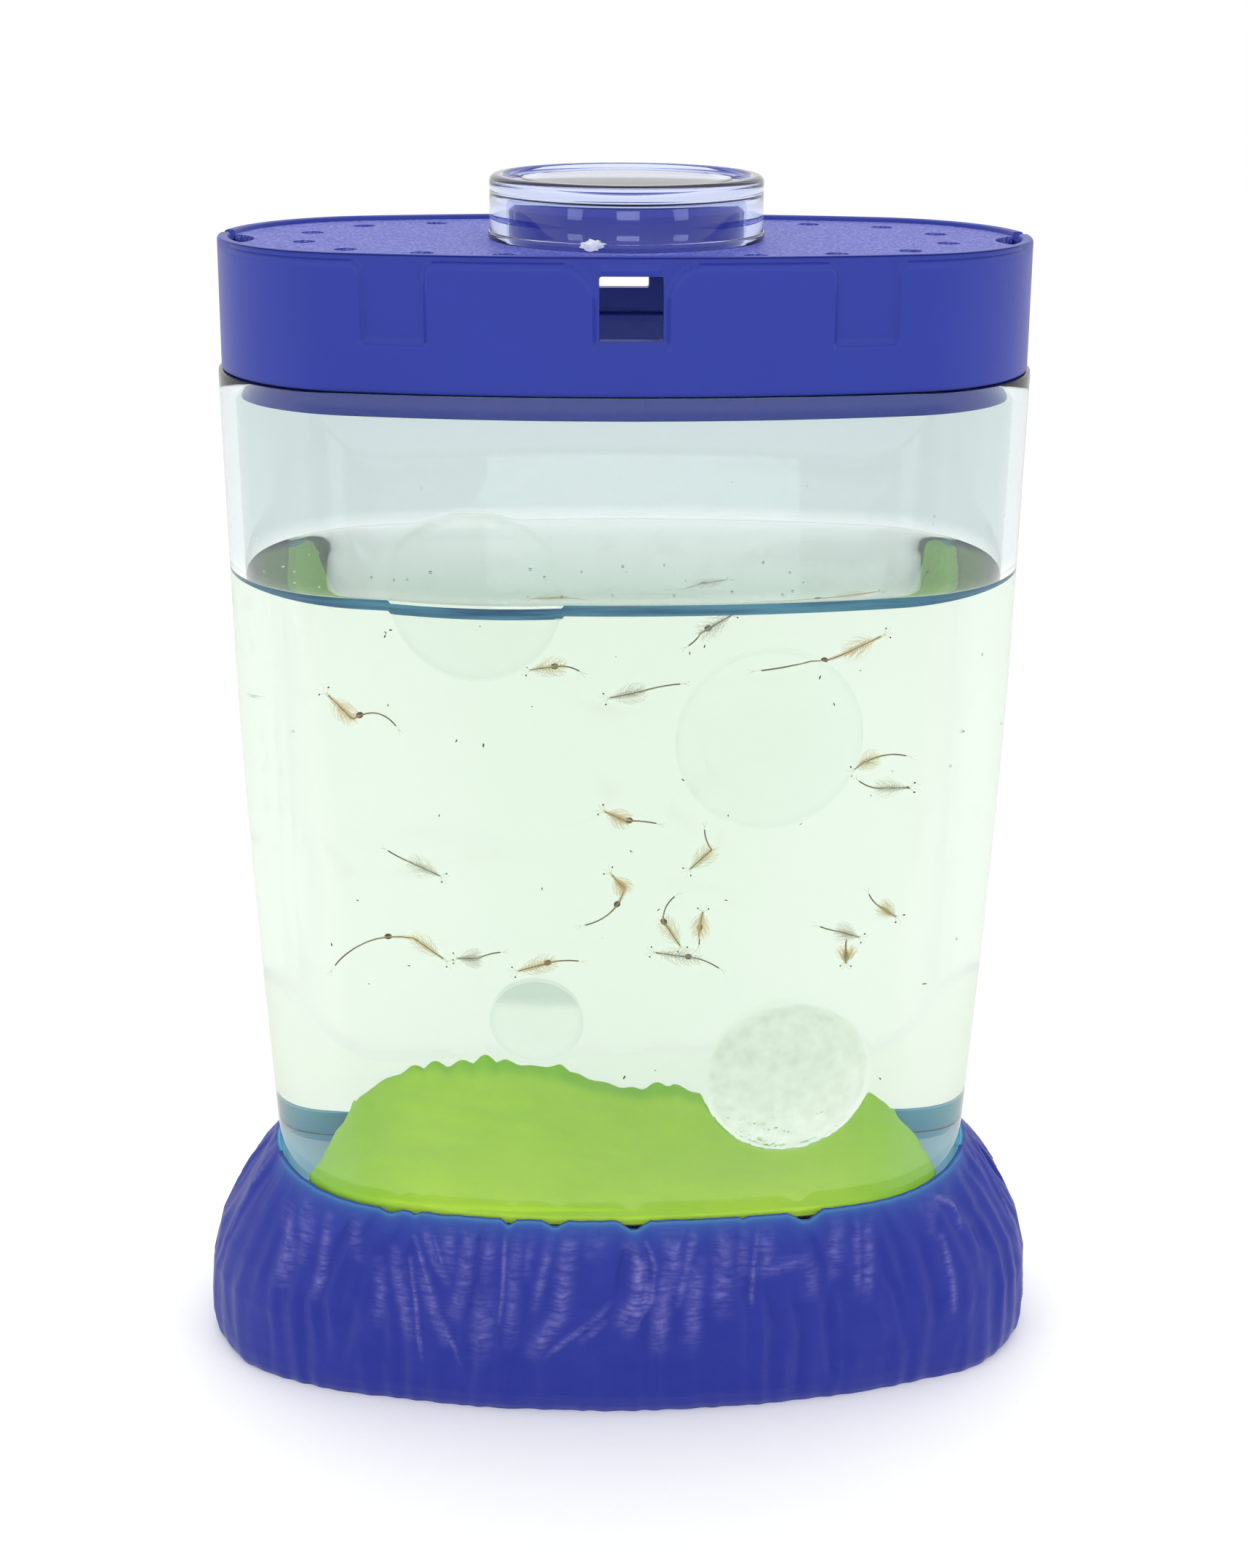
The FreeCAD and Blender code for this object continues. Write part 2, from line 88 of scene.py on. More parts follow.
# Each fold on the long sides, with a painted sheen: points as (across, up), half width, how far it stands out
FOLDS = [
    ([(-47.2, 26.6), (-46.9, 23.5), (-48.2, 17.3)], 0.9, 0.30),
    ([(-44.2, 29.3), (-44.5, 25.1), (-45.4, 21.6)], 0.9, 0.25),
    ([(-41.0, 28.2), (-41.7, 23.9), (-42.4, 19.6), (-43.5, 16.1)], 0.6, 0.30),
    ([(-37.2, 30.1), (-37.3, 26.6), (-37.2, 22.7)], 0.7, 0.20),
    ([(-34.0, 22.7), (-34.1, 17.3), (-34.8, 13.4)], 0.8, 0.22),
    ([(-31.8, 24.3), (-31.1, 18.9), (-30.1, 11.9)], 0.8, 0.28),
    ([(-28.1, 21.2), (-26.4, 15.7), (-24.8, 11.1)], 0.8, 0.28),
    ([(-27.8, 28.9), (-26.4, 23.9), (-24.6, 20.8)], 0.6, 0.25),
    ([(-24.4, 28.9), (-24.3, 23.1)], 0.9, 0.25),
    ([(-21.4, 28.2), (-22.2, 21.2), (-23.8, 15.9)], 1.0, 0.25),
    ([(-18.7, 28.2), (-19.1, 22.0)], 0.9, 0.22),
    ([(-19.4, 18.9), (-19.7, 15.7), (-20.1, 9.5)], 1.4, 0.25),
    ([(-14.7, 27.4), (-15.4, 22.7), (-16.0, 12.0)], 0.8, 0.20),
    ([(-13.0, 27.8), (-13.5, 22.3)], 0.6, 0.22),
    ([(-10.3, 27.4), (-11.5, 22.0), (-12.7, 17.7)], 0.6, 0.26),
    ([(-7.5, 28.2), (-8.3, 23.5), (-9.0, 16.5), (-11.7, 13.0), (-12.7, 10.3)], 1.0, 0.30),
    ([(-3.6, 28.6), (-4.3, 26.2)], 1.2, 0.20),
    ([(0.7, 26.6), (2.1, 24.3), (1.7, 19.6), (-0.6, 15.7)], 0.9, 0.42),
    ([(3.4, 22.3), (2.7, 18.9), (0.1, 13.8)], 0.8, 0.34),
    ([(6.2, 28.3), (6.8, 24.0), (5.6, 20.5), (4.9, 16.2), (4.8, 11.9)], 1.1, 0.28),
    ([(9.6, 29.0), (8.7, 24.8), (7.3, 18.3)], 0.6, 0.26),
    ([(9.9, 24.0), (9.6, 19.7), (9.3, 11.9)], 1.0, 0.24),
    ([(13.6, 28.7), (13.5, 22.6), (13.3, 16.9)], 1.1, 0.26),
    ([(16.4, 28.0), (16.2, 24.0), (16.1, 21.2)], 0.7, 0.22),
    ([(19.5, 28.3), (19.5, 22.6), (22.6, 23.0), (25.1, 23.9)], 0.9, 0.24),
    ([(25.1, 23.0), (26.1, 20.8), (26.1, 18.3)], 1.0, 0.22),
    ([(29.4, 28.3), (29.2, 21.2)], 0.9, 0.26),
    ([(32.3, 28.3), (32.6, 22.6), (32.6, 17.6)], 0.5, 0.22),
    ([(34.0, 28.0), (34.2, 22.6), (34.0, 16.5)], 0.7, 0.24),
    ([(42.1, 29.0), (43.5, 28.0), (43.2, 25.5)], 0.7, 0.20),
]
# Each thin sharp ridge, in the same way
RIDGES = [
    ([(-29.1, 27.0), (-28.1, 23.9), (-26.8, 18.9), (-25.4, 14.2), (-23.4, 9.5), (-22.9, 8.0)], 0.30, 0.34),
    ([(-29.8, 23.9), (-29.1, 18.9), (-28.9, 13.4), (-28.4, 7.6)], 0.28, 0.26),
    ([(-26.3, 27.0), (-24.6, 21.2)], 0.25, 0.25),
    ([(-16.5, 27.8), (-17.0, 18.9), (-17.5, 15.0)], 0.28, 0.26),
    ([(-2.0, 18.5), (-4.6, 15.7), (-8.7, 12.3), (-11.3, 9.9)], 0.32, 0.38),
    ([(-3.0, 15.6), (-6.0, 12.6)], 0.45, 0.25),
    ([(2.9, 27.0), (4.0, 24.3), (3.6, 19.0), (1.2, 14.4)], 0.35, 0.30),
    ([(8.0, 28.7), (6.5, 24.8), (5.6, 22.6)], 0.28, 0.22),
    ([(18.4, 28.7), (17.8, 24.0), (17.5, 19.7), (17.6, 17.2)], 0.28, 0.30),
    ([(40.8, 30.6), (45.2, 28.3), (47.3, 26.5), (47.7, 24.0)], 0.35, 0.30),
    ([(44.9, 24.0), (46.7, 16.9), (47.2, 11.9)], 0.45, 0.25),
]
# Each long soft valley, which ends near the ground: how far it lies in comes last
VALLEYS = [
    ([(28.8, 21.0), (28.8, 13.3), (29.6, 3.0)], 0.7, 0.55),
    ([(36.5, 20.8), (38.4, 16.2), (40.2, 7.7)], 0.8, 0.35),
    ([(41.5, 24.0), (43.6, 16.9), (44.9, 9.9)], 0.8, 0.35),
    ([(23.2, 19.0), (24.8, 11.9), (24.8, 3.1)], 0.7, 0.35),
    ([(19.2, 19.0), (21.7, 12.9), (23.2, 9.0)], 0.7, 0.30),
    ([(-35.8, 24.0), (-38.0, 15.0), (-40.5, 5.0)], 0.9, 0.30),
    ([(-13.6, 16.0), (-15.5, 10.0), (-16.5, 3.0)], 0.8, 0.30),
    ([(-1.2, 20.0), (-3.2, 18.0), (-6.0, 17.6), (-6.9, 24.0)], 1.2, 0.35),
    ([(1.0, 28.0), (-0.4, 24.0), (-0.6, 19.0)], 0.8, 0.40),
    ([(46.5, 28.0), (51.0, 24.0), (52.5, 15.0)], 1.0, 0.40),
]
# Each notch in the rim: place across, half width, depth
RIM_NOTCHES = [(-32.5, 1.6, 0.6), (-29.1, 0.8, 0.3), (-16.1, 1.1, 0.9), (-9.7, 1.9, 0.9), (1.2, 2.3, 1.3),
               (16.4, 0.7, 0.3), (25.1, 2.6, 1.3)]


def oval(half_width, half_depth, end_radius, steps):
    """Points on an oval of four tangent arcs and their outward directions, by count or by shares of it."""
    shares = np.arange(steps) / steps if isinstance(steps, int) else steps
    middle = half_width - end_radius
    side_radius = (middle ** 2 + half_depth ** 2 - end_radius ** 2) / (2 * (half_depth - end_radius))
    drop = side_radius - half_depth
    turn = math.atan2(drop, middle)
    end_length = end_radius * turn
    quarter = end_length + side_radius * (math.pi / 2 - turn)
    along = shares * 4 * quarter
    part = (along // quarter).astype(int) % 4
    rest = along % quarter
    rest = np.where(part % 2 == 1, quarter - rest, rest)
    on_end = rest < end_length
    angle = np.where(on_end, rest / end_radius, turn + (rest - end_length) / side_radius)
    radius = np.where(on_end, end_radius, side_radius)
    x = np.where(on_end, middle, 0.0) + radius * np.cos(angle)
    y = np.where(on_end, 0.0, -drop) + radius * np.sin(angle)
    across = np.where((part == 1) | (part == 2), -1, 1)
    back = np.where(part >= 2, -1, 1)
    points = np.stack([x * across, y * back], axis=1)
    outward = np.stack([np.cos(angle) * across, np.sin(angle) * back], axis=1)
    return points, outward


def taper_at(z):
    """How far the tub's wall has drawn in at height z."""
    share = np.clip(1 - (z - TUB_UNDERSIDE) / TAPER_HEIGHT, 0, 1)
    return FOOT_TAPER * share ** 1.5


def tub_oval(inset, steps):
    """The tub's outline drawn in by inset."""
    return oval(TUB_HALF_WIDTH - inset, TUB_HALF_DEPTH - inset, TUB_END_RADIUS - inset, steps)


def level_ring(points, z):
    """Flat points as one ring of a skin, all at one height or each at its own."""
    return np.column_stack([points, np.broadcast_to(z, len(points))])


def ring_mesh(name, rings, joined=False):
    """A closed mesh from rings of points in millimetres: capped at both ends, or joined end to end."""
    rings = np.asarray(rings)
    rows, columns, _ = rings.shape
    index = np.arange(rows * columns).reshape(rows, columns)
    loops = np.vstack([index, index[:1]]) if joined else index
    here, there = loops[:-1], loops[1:]
    quads = np.stack([here, np.roll(here, -1, 1), np.roll(there, -1, 1), there], -1).reshape(-1, 4)
    faces = quads.tolist()
    if not joined:
        faces += [index[0][::-1].tolist(), index[-1].tolist()]
    mesh = bpy.data.meshes.new(name)
    mesh.from_pydata((rings.reshape(-1, 3) * MM).tolist(), [], faces)
    work = bmesh.new()
    work.from_mesh(mesh)
    bmesh.ops.recalc_face_normals(work, faces=work.faces)
    work.to_mesh(mesh)
    work.free()
    return mesh


def put(name, data):
    """Puts a mesh, a light or a camera in the scene."""
    thing = bpy.data.objects.new(name, data)
    bpy.context.scene.collection.objects.link(thing)
    return thing


def place(mesh, body, material, slot, *nodes):
    """Puts a finished mesh in the scene as a piece that rides on a body and stands for CAD nodes."""
    piece = put(mesh.name, mesh)
    if not mesh.materials:
        mesh.materials.append(material)
    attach(piece, body)
    if nodes:
        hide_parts(*nodes)
    return piece


def soften(mesh, degrees):
    """Smooth shading that keeps edges sharper than this angle."""
    mesh.shade_smooth()
    mesh.set_sharp_from_angle(angle=math.radians(degrees))


def linear(text):
    """An sRGB hex colour as linear red, green, blue and alpha."""
    parts = [int(text[i:i + 2], 16) / 255 for i in (1, 3, 5)]
    return [c / 12.92 if c <= 0.04045 else ((c + 0.055) / 1.055) ** 2.4 for c in parts] + [1.0]


def fill(node, sockets):
    """Sets a node's sockets to values, or links them from other sockets or from a node's first output."""
    for key, value in sockets.items():
        if isinstance(value, bpy.types.Node):
            value = value.outputs[0]
        if isinstance(value, bpy.types.NodeSocket):
            node.id_data.links.new(value, node.inputs[key])
        else:
            node.inputs[key].default_value = value


def add(tree, kind, settings=None, sockets=None):
    """Adds a node, with its settings, and fills its sockets."""
    node = tree.nodes.new(kind)
    for name, value in (settings or {}).items():
        setattr(node, name, value)
    fill(node, sockets or {})
    return node


def new_material(name, **values):
    """A material with one principled shader whose own sockets take the values."""
    material = bpy.data.materials.new(name)
    material.use_nodes = True
    shader = material.node_tree.nodes["Principled BSDF"]
    fill(shader, {key.replace("_", " "): value for key, value in values.items()})
    return material, material.node_tree, shader


def mottled(tree, place_at, size, detail, one, other):
    """A colour that drifts between two in clouds this many millimetres wide, and the clouds themselves."""
    clouds = add(tree, "ShaderNodeTexNoise", None,
                 {"Vector": place_at, "Scale": 1 / (size * MM), "Detail": detail})
    colour = add(tree, "ShaderNodeMix", {"data_type": "RGBA"}, {"Factor": clouds, 6: one, 7: other})
    return colour.outputs[2], clouds


def bark_polypropylene():
    """Blue polypropylene off a textured mould: waxy deep blue, with a painted pale violet sheen along the
    folds.
    """
    material, tree, shader = new_material("bark_textured_polypropylene", Roughness=0.42, IOR=1.49,
                                          Specular_IOR_Level=0.23, Emission_Color=linear("#409FCC"))
    place_at = add(tree, "ShaderNodeTexCoord").outputs["Object"]
    sheen_mask = add(tree, "ShaderNodeAttribute", {"attribute_name": "sheen_mask"}).outputs["Fac"]
    glow = add(tree, "ShaderNodeAttribute", {"attribute_name": "lit_through"}).outputs["Fac"]
    colour, patches = mottled(tree, place_at, 6, 4.0, linear("#1F2A87"), linear("#28338F"))
    # Level scratches 0.5 mm apart, about 3 mm long, broken up by a 1.5 mm grain. They break the painted sheen
    # into short strokes
    squeeze = add(tree, "ShaderNodeMapping", None, {"Vector": place_at, "Scale": (0.17, 0.17, 1.0)})
    scratches = add(tree, "ShaderNodeTexNoise", None,
                    {"Vector": squeeze, "Scale": 1 / (0.5 * MM), "Detail": 2.0})
    grain = add(tree, "ShaderNodeTexNoise", None,
                {"Vector": place_at, "Scale": 1 / (1.5 * MM), "Detail": 3.0})
    lines = add(tree, "ShaderNodeMapRange", None,
                {"Value": scratches, "From Min": 0.34, "From Max": 0.6, "To Min": 0.25, "To Max": 1.0})
    worn = add(tree, "ShaderNodeMapRange", None,
               {"Value": grain, "From Min": 0.3, "From Max": 0.62, "To Min": 0.3, "To Max": 1.0})
    # Painted sheen: the folds are painted pale violet where a highlight would fall, broken by the scratches
    # and the grain
    sheen = lines
    for share in (worn, sheen_mask, 0.44):
        sheen = add(tree, "ShaderNodeMath", {"operation": "MULTIPLY"}, {0: sheen, 1: share})
    colour = add(tree, "ShaderNodeMix", {"data_type": "RGBA"},
                 {"Factor": sheen, 6: colour, 7: linear("#8F8AC9")}).outputs[2]
    # Painted light: the thin rim and the deck under the tub are painted pale teal, as if lit through
    colour = add(tree, "ShaderNodeMix", {"data_type": "RGBA"},
                 {"Factor": glow, 6: colour, 7: linear("#58B0CC")}).outputs[2]
    # A painted glow: a weak pale emission where that painted light is strongest
    painted_glow_strength = add(tree, "ShaderNodeMapRange", None,
                 {"Value": glow, "From Min": 0.45, "From Max": 0.8, "To Max": 0.32})
    cut = add(tree, "ShaderNodeMath", {"operation": "ADD"}, {0: sheen_mask, 1: 0.12})
    height = add(tree, "ShaderNodeMath", {"operation": "MULTIPLY"}, {0: scratches, 1: cut})
    bump = add(tree, "ShaderNodeBump", None, {"Height": height, "Strength": 0.7, "Distance": 0.3 * MM})
    gloss = add(tree, "ShaderNodeMapRange", None,
                {"Value": patches, "From Min": 0.3, "From Max": 0.7, "To Min": 0.38, "To Max": 0.46})
    fill(shader, {"Base Color": colour, "Emission Strength": painted_glow_strength, "Normal": bump, "Roughness": gloss})
    return material


def line_gap(x, z, line):
    """How far each point lies from a line of straight runs, and how much the line has faded there."""
    nearest = np.full_like(x, 1e3)
    for (ax, az), (bx, bz) in zip(line, line[1:]):
        run = (bx - ax) ** 2 + (bz - az) ** 2
        share = np.clip(((x - ax) * (bx - ax) + (z - az) * (bz - az)) / run, 0, 1)
        nearest = np.minimum(nearest, np.hypot(x - ax - share * (bx - ax), z - az - share * (bz - az)))
    (sx, sz), (ex, ez) = line[0], line[-1]
    ends = np.minimum(np.hypot(x - sx, z - sz), np.hypot(x - ex, z - ez))
    return nearest, 0.35 + 0.65 * np.clip(ends / 2.5, 0, 1)


def bark_relief(x, z):
    """How far the folds lift the skin at each point of a long side, and how much painted sheen it gets."""
    lift = np.zeros_like(x)
    sheen_mask = np.zeros_like(x)
    lines = [(*fold, fold[2] / FULL_SHEEN_RISE) for fold in FOLDS] + [(*ridge, 0.9) for ridge in RIDGES]
    lines += [(line, half, -depth, 0) for line, half, depth in VALLEYS]
    for line, half, rise, sheen_share in lines:
        gap, fade = line_gap(x, z, line)
        shape = np.exp(-(gap / half) ** 2) * fade
        lift += rise * shape
        sheen_mask = np.maximum(sheen_mask, sheen_share * shape)
    return lift, sheen_mask


def foot_ring(z, half_width, half_depth, end_radius):
    """One level ring of the foot and its outward directions."""
    points, outward = oval(half_width, half_depth, end_radius, FOOT_COLUMNS)
    return level_ring(points, z), level_ring(outward, 0)


def foot_rings():
    """The skin's rings from the rim down, each with its painted sheen and its painted glow near the rim."""
    heights = [level[0] for level in FOOT_LEVELS][::-1]
    top = FOOT_LEVELS[0][0]
    rings = []
    for share in np.linspace(0, 1, FOOT_ROWS) ** 1.05:
        z = top * (1 - share)
        sizes = [np.interp(z, heights, [level[k] for level in FOOT_LEVELS][::-1]) for k in (1, 2, 3)]
        ring, outward = foot_ring(z, *sizes)
        rings.append((ring, outward, share))
    length = np.cumsum(np.linalg.norm(np.roll(rings[20][0], -1, 0) - rings[20][0], axis=1))
    uneven = np.array([RIM_UNEVEN * noise.noise(Vector((s / 2.3, 0, 5))) for s in length])
    finished, sheen_rows, glows = [], [], []
    for ring, outward, share in rings:
        x, y, z = ring.T
        # The rim stands a little higher at the ends, and is notched
        rise = RIM_FRONT - top + RIM_END_RISE * (np.abs(x) / TUB_HALF_WIDTH) ** 4
        for across, half, depth in RIM_NOTCHES:
            rise -= depth * np.clip(1.25 - 1.25 * np.abs(x - across) / half, 0, 1)
        rise += uneven
        z = z + rise * (1 - share) ** 3
        side = np.clip((np.abs(outward[:, 1]) - 0.3) / 0.15, 0, 1)
        lift, sheen_mask = bark_relief(np.where(y < 0, x, -x), z)
        folds = np.empty(FOOT_COLUMNS)
        end_sheen = np.empty(FOOT_COLUMNS)
        for i, s in enumerate(length):
            # Soft pleats run down the skin. Round the ends they are larger and branch
            lean = 1.2 * noise.noise(Vector((s / 16, z[i] / 16, 1.0)))
            bent = (s + lean) / PLEAT_GAP + 0.6 * noise.noise(Vector((s / 7, 0, 2.0)))
            pleat = math.cos(2 * math.pi * bent)
            swell = 0.5 + noise.noise(Vector((s / 6, z[i] / 22, 3.0)))
            branch = noise.noise(Vector(((s + 3 * lean) / 4.2, z[i] / 17, 4.0)))
            ridge = noise.noise(Vector(((s + 3 * lean) / 2.6, z[i] / 15, 6.0)))
            folds[i] = PLEAT_RISE * pleat * swell + 0.12 * ridge
            around = 1.9 * (0.3 - abs(branch)) + 0.8 * (0.25 - abs(ridge))
            folds[i] = side[i] * folds[i] + (1 - 0.75 * side[i]) * around
            # Round the ends the branching folds get a painted sheen
            end_sheen[i] = (1 - side[i]) * min(max(1.0 - 9 * abs(branch), 0), 1)
        low = np.clip((12 - z) / 9, 0, 1)
        # Near the ground the skin wanders in and out a little over lengths of about 10 mm
        folds += WANDER * low * np.array([noise.noise(Vector((s / 10, 0, 7.0))) for s in length])
        settle = np.clip(share * 11, 0, 1)
        out = (folds * (1 - 0.45 * low) + lift * side) * settle
        # At the very ends, where the foot is widest, the folds stay within it
        out = np.where(np.abs(x) > WIDEST_END, np.minimum(out, END_RISE), out)
        moved = ring + outward * out[:, None]
        moved[:, 2] = 0 if share == 1 else z
        finished.append(moved)
        # The painted sheen starts a little under the rim and fades out above the ground
        sheen_rows.append((sheen_mask * side + 0.45 * end_sheen) * settle * np.clip((z - 6) / 6, 0, 1))
        # A painted glow in a thin band just under the rim
        glows.append((0.22 * np.exp(-share * top / 0.3) + 0.14 * np.exp(-share * top / 1.6)) * side)
    return finished, sheen_rows, glows


def foot_mesh():
    """The hollow skirt: the deck, the socket and its lip, the carved skin and the hollow under the deck."""
    skin, sheen_rows, glows = foot_rings()
    _, outward = foot_ring(0, TUB_HALF_WIDTH, TUB_HALF_DEPTH, TUB_END_RADIUS)
    # Inside the rim: down the socket to the deck that carries the tub
    lip = skin[0] - outward * SOCKET_LIP
    socket_wall = lip.copy()
    socket_wall[:, 2] = DECK
    deck = [socket_wall * (k, k, 1) for k in (0.02, 0.62, 0.76, 0.88, 0.99)]
    # The hollow under the deck keeps one wall thickness inside the skin
    hollow = [skin[-1] - outward * FOOT_WALL]
    for z, *sizes in FOOT_LEVELS[7:2:-1] + [(HOLLOW_TOP, 54.9, 25.6, 21.3)]:
        hollow.append(foot_ring(z, *[size - FOOT_WALL for size in sizes])[0])
    mesh = ring_mesh("foot", deck + [socket_wall, lip] + skin + hollow)
    bare = np.zeros(FOOT_COLUMNS)
    # Painted glow on the deck at the ends of the socket, where nothing stands on it, and behind its lip
    deck_glow = [0.3 + 0.7 * np.clip((np.abs(ring[:, 0]) - 33) / 10, 0, 1) for ring in deck]
    behind = 0.8 * (outward[:, 1] > -0.3) * np.clip((np.abs(lip[:, 0]) - 30) / 8, 0.1, 1)
    for name, rows in (("sheen_mask", [bare] * (len(deck) + 2) + sheen_rows),
                       ("lit_through", deck_glow + [behind, behind] + glows)):
        values = mesh.attributes.new(name, "FLOAT", "POINT")
        values.data.foreach_set("value", np.concatenate(rows + [bare] * len(hollow)))
    soften(mesh, 50)
    return mesh


foot_blue = bark_polypropylene()
place(foot_mesh(), "base", foot_blue, "blue_rock", "base")

# Tub: a clear oval tank of polystyrene, injection moulded in one piece with four magnifier bubbles on its
# front wall. Inside, the wall follows three of them, which are hollow. The lowest is solid and magnifies.
TUB_WALL = 2.0
TUB_RIM = 143.5
TUB_FLOOR = 27.8
TUB_EDGE_ROUND = 1.6
DULL_ABOVE = 118.5
# Each bubble: place across, height, radius, radius of its ball, how much painted shade greys its edge, 1 if
# hollow, and how high over its middle the painted shade on its top begins
BUBBLES = [(-19.0, 118.8, 10.7, 60.0, 0.4, 1.0, 9.6), (17.9, 100.05, 12.0, 72.0, 0.3, 1.0, 13.0),
           (-11.9, 60.3, 6.2, 40.0, 0.5, 1.0, 2.6), (21.9, 51.0, 11.4, 25.0, 0.0, 0.0, 0.0)]
# The front, where the bubbles are, takes more columns than the rest
WALL_STEPS = np.concatenate([np.linspace(0, 0.60, 84, endpoint=False),
                             np.linspace(0.60, 0.90, 176, endpoint=False),
                             np.linspace(0.90, 1, 16, endpoint=False)])


def bubble_rise(x, z, inset):
    """How far the bubbles stand out of the front wall at a height, on a skin that lies inset in it."""
    rise = np.zeros_like(x)
    for across, up, radius, ball, _, follow, _ in BUBBLES:
        edge = radius - 0.4 * inset
        inner_ball = ball - inset
        away = np.hypot(x - across, z - up)
        dome = np.sqrt(inner_ball ** 2 - np.minimum(away, edge) ** 2) - math.sqrt(inner_ball ** 2 - edge ** 2)
        rise = rise + dome * (1.0 if inset == 0 else follow)
    return rise


def wall_ring(z, inset):
    """One ring of the tub's wall at a height, drawn in by inset, with the bubbles on its front."""
    ring, _ = tub_oval(inset + float(taper_at(z)), WALL_STEPS)
    ring[:, 1] -= np.where(ring[:, 1] < 0, bubble_rise(ring[:, 0], z, inset), 0)
    return level_ring(ring, z)


def tub_mesh():
    """The tub's skin: up the inside from the floor, over the rim, down the outside and under its edge."""
    heights = np.concatenate([np.linspace(39, 131, 140), np.linspace(133, TUB_RIM - 0.5, 6)])
    floor_ring = wall_ring(TUB_FLOOR, TUB_WALL)
    inside = [floor_ring * (k, k, 1) for k in (0.02, 0.5, 0.97)]
    inside += [wall_ring(z, TUB_WALL) for z in np.linspace(TUB_FLOOR, 38, 8)]
    inside += [wall_ring(z, TUB_WALL) for z in heights]
    rim = [wall_ring(TUB_RIM - down, inset) for down, inset in
           ((0.1, TUB_WALL - 0.1), (0, TUB_WALL - 0.35), (0, 0.35), (0.1, 0.1))]
    outside = [wall_ring(z, 0) for z in heights[::-1]]
    outside += [wall_ring(z, 0) for z in np.linspace(38, TUB_UNDERSIDE + TUB_EDGE_ROUND, 8)]
    outside += [wall_ring(TUB_UNDERSIDE + TUB_EDGE_ROUND * (1 - math.sin(a)),
                          TUB_EDGE_ROUND * (1 - math.cos(a)))
                for a in np.radians([15, 30, 45, 60, 75, 90])]
    outside += [outside[-1] * (k, k, 1) for k in (0.5, 0.02)]
    mesh = ring_mesh("clear_tub", inside + rim + outside)
    soften(mesh, 40)
    return mesh


def clear_polystyrene(name, roughness, tint, ior):
    """Crystal polystyrene off a polished mould: glossy and water clear, with a faint grey green body tint."""
    return new_material(name, Base_Color=linear(tint), Roughness=roughness, IOR=ior, Transmission_Weight=1.0)


def tub_polystyrene():
    """The tub's clear polystyrene: above the water its wall is dulled a little by dried drops."""
    material, tree, shader = clear_polystyrene("crystal_polystyrene", 0.0, "#FBFDFB", 1.42)
    place_at = add(tree, "ShaderNodeTexCoord").outputs["Object"]
    apart = add(tree, "ShaderNodeSeparateXYZ", None, {0: place_at}).outputs
    dull = add(tree, "ShaderNodeMapRange", None,
               {"Value": apart["Z"], "From Min": (DULL_ABOVE - 1) * MM, "From Max": (DULL_ABOVE + 1) * MM})
    tint = add(tree, "ShaderNodeMix", {"data_type": "RGBA"},
               {"Factor": dull, 6: linear("#FBFDFB"), 7: linear("#E1E9E9")}).outputs[2]
    before = add(tree, "ShaderNodeMath", {"operation": "LESS_THAN"}, {0: apart["Y"], 1: 0.0})
    for across, up, radius, _, shown, hollow, top in BUBBLES:
        centred = add(tree, "ShaderNodeMapping", None,
                      {"Vector": place_at, "Location": (-across * MM, 0, -up * MM), "Scale": (1, 0, 1)})
        away = add(tree, "ShaderNodeVectorMath", {"operation": "LENGTH"}, {0: centred}).outputs["Value"]
        if hollow:
            # Painted shade: a hollow bubble is greyed a little, most near its edge, and more over its top
            inside = add(tree, "ShaderNodeMath", {"operation": "LESS_THAN"}, {0: away, 1: radius * MM})
            inside = add(tree, "ShaderNodeMath", {"operation": "MULTIPLY"}, {0: inside, 1: before})
            edge = add(tree, "ShaderNodeMapRange", None,
                       {"Value": away, "From Min": (radius - 1.2) * MM, "From Max": radius * MM,
                        "To Min": 0.35 * shown, "To Max": shown})
            cap = add(tree, "ShaderNodeMapRange", None,
                      {"Value": apart["Z"], "From Min": (up + top - 0.5) * MM,
                       "From Max": (up + top + 0.5) * MM, "To Max": 0.85})
            for shade, grey in ((edge, "#E2ECE8"), (cap, "#D6E0DC")):
                share = add(tree, "ShaderNodeMath", {"operation": "MULTIPLY"}, {0: shade, 1: inside})
                tint = add(tree, "ShaderNodeMix", {"data_type": "RGBA"},
                           {"Factor": share, 6: tint, 7: linear(grey)}).outputs[2]
        else:
            # The solid one is thick, and sank unevenly as it cooled, in dimples about 2 mm across
            inside = add(tree, "ShaderNodeMapRange", None,
                         {"Value": away, "From Min": radius * MM, "From Max": (radius - 1) * MM})
            inside = add(tree, "ShaderNodeMath", {"operation": "MULTIPLY"}, {0: inside, 1: before})
            dimples = add(tree, "ShaderNodeTexNoise", None,
                          {"Vector": place_at, "Scale": 1 / (2 * MM), "Detail": 4.0})
            uneven = add(tree, "ShaderNodeMath", {"operation": "MULTIPLY"}, {0: dimples, 1: inside})
            milky = add(tree, "ShaderNodeMapRange", None,
                        {"Value": uneven, "From Min": 0.35, "From Max": 0.7, "To Max": 0.6})
            tint = add(tree, "ShaderNodeMix", {"data_type": "RGBA"},
                       {"Factor": milky, 6: tint, 7: linear("#DDE5DA")}).outputs[2]
    bump = add(tree, "ShaderNodeBump", None, {"Height": uneven, "Strength": 0.5, "Distance": 0.25 * MM})
    fill(shader, {"Base Color": tint, "Normal": bump})
    return material


tub = place(tub_mesh(), "tank", tub_polystyrene(), "clear_tub", "tank")
tub.visible_shadow = False

# Ground: a green moulded bed on the tub's floor, with a high hill on the left, a low one on the right and a
# ragged crest along the back wall. It reaches the front wall, but leaves the floor bare at both ends.
GROUND_FLOOR = TUB_FLOOR + 0.05
GROUND_SHEET = 1.8
GROUND_COLUMNS = 420
# How far it reaches across at each place from the front wall to the back
GROUND_REACH = [(-25, 49.0), (-15.5, 48.0), (-10, 44.6), (-2, 41.6), (25, 34.5)]
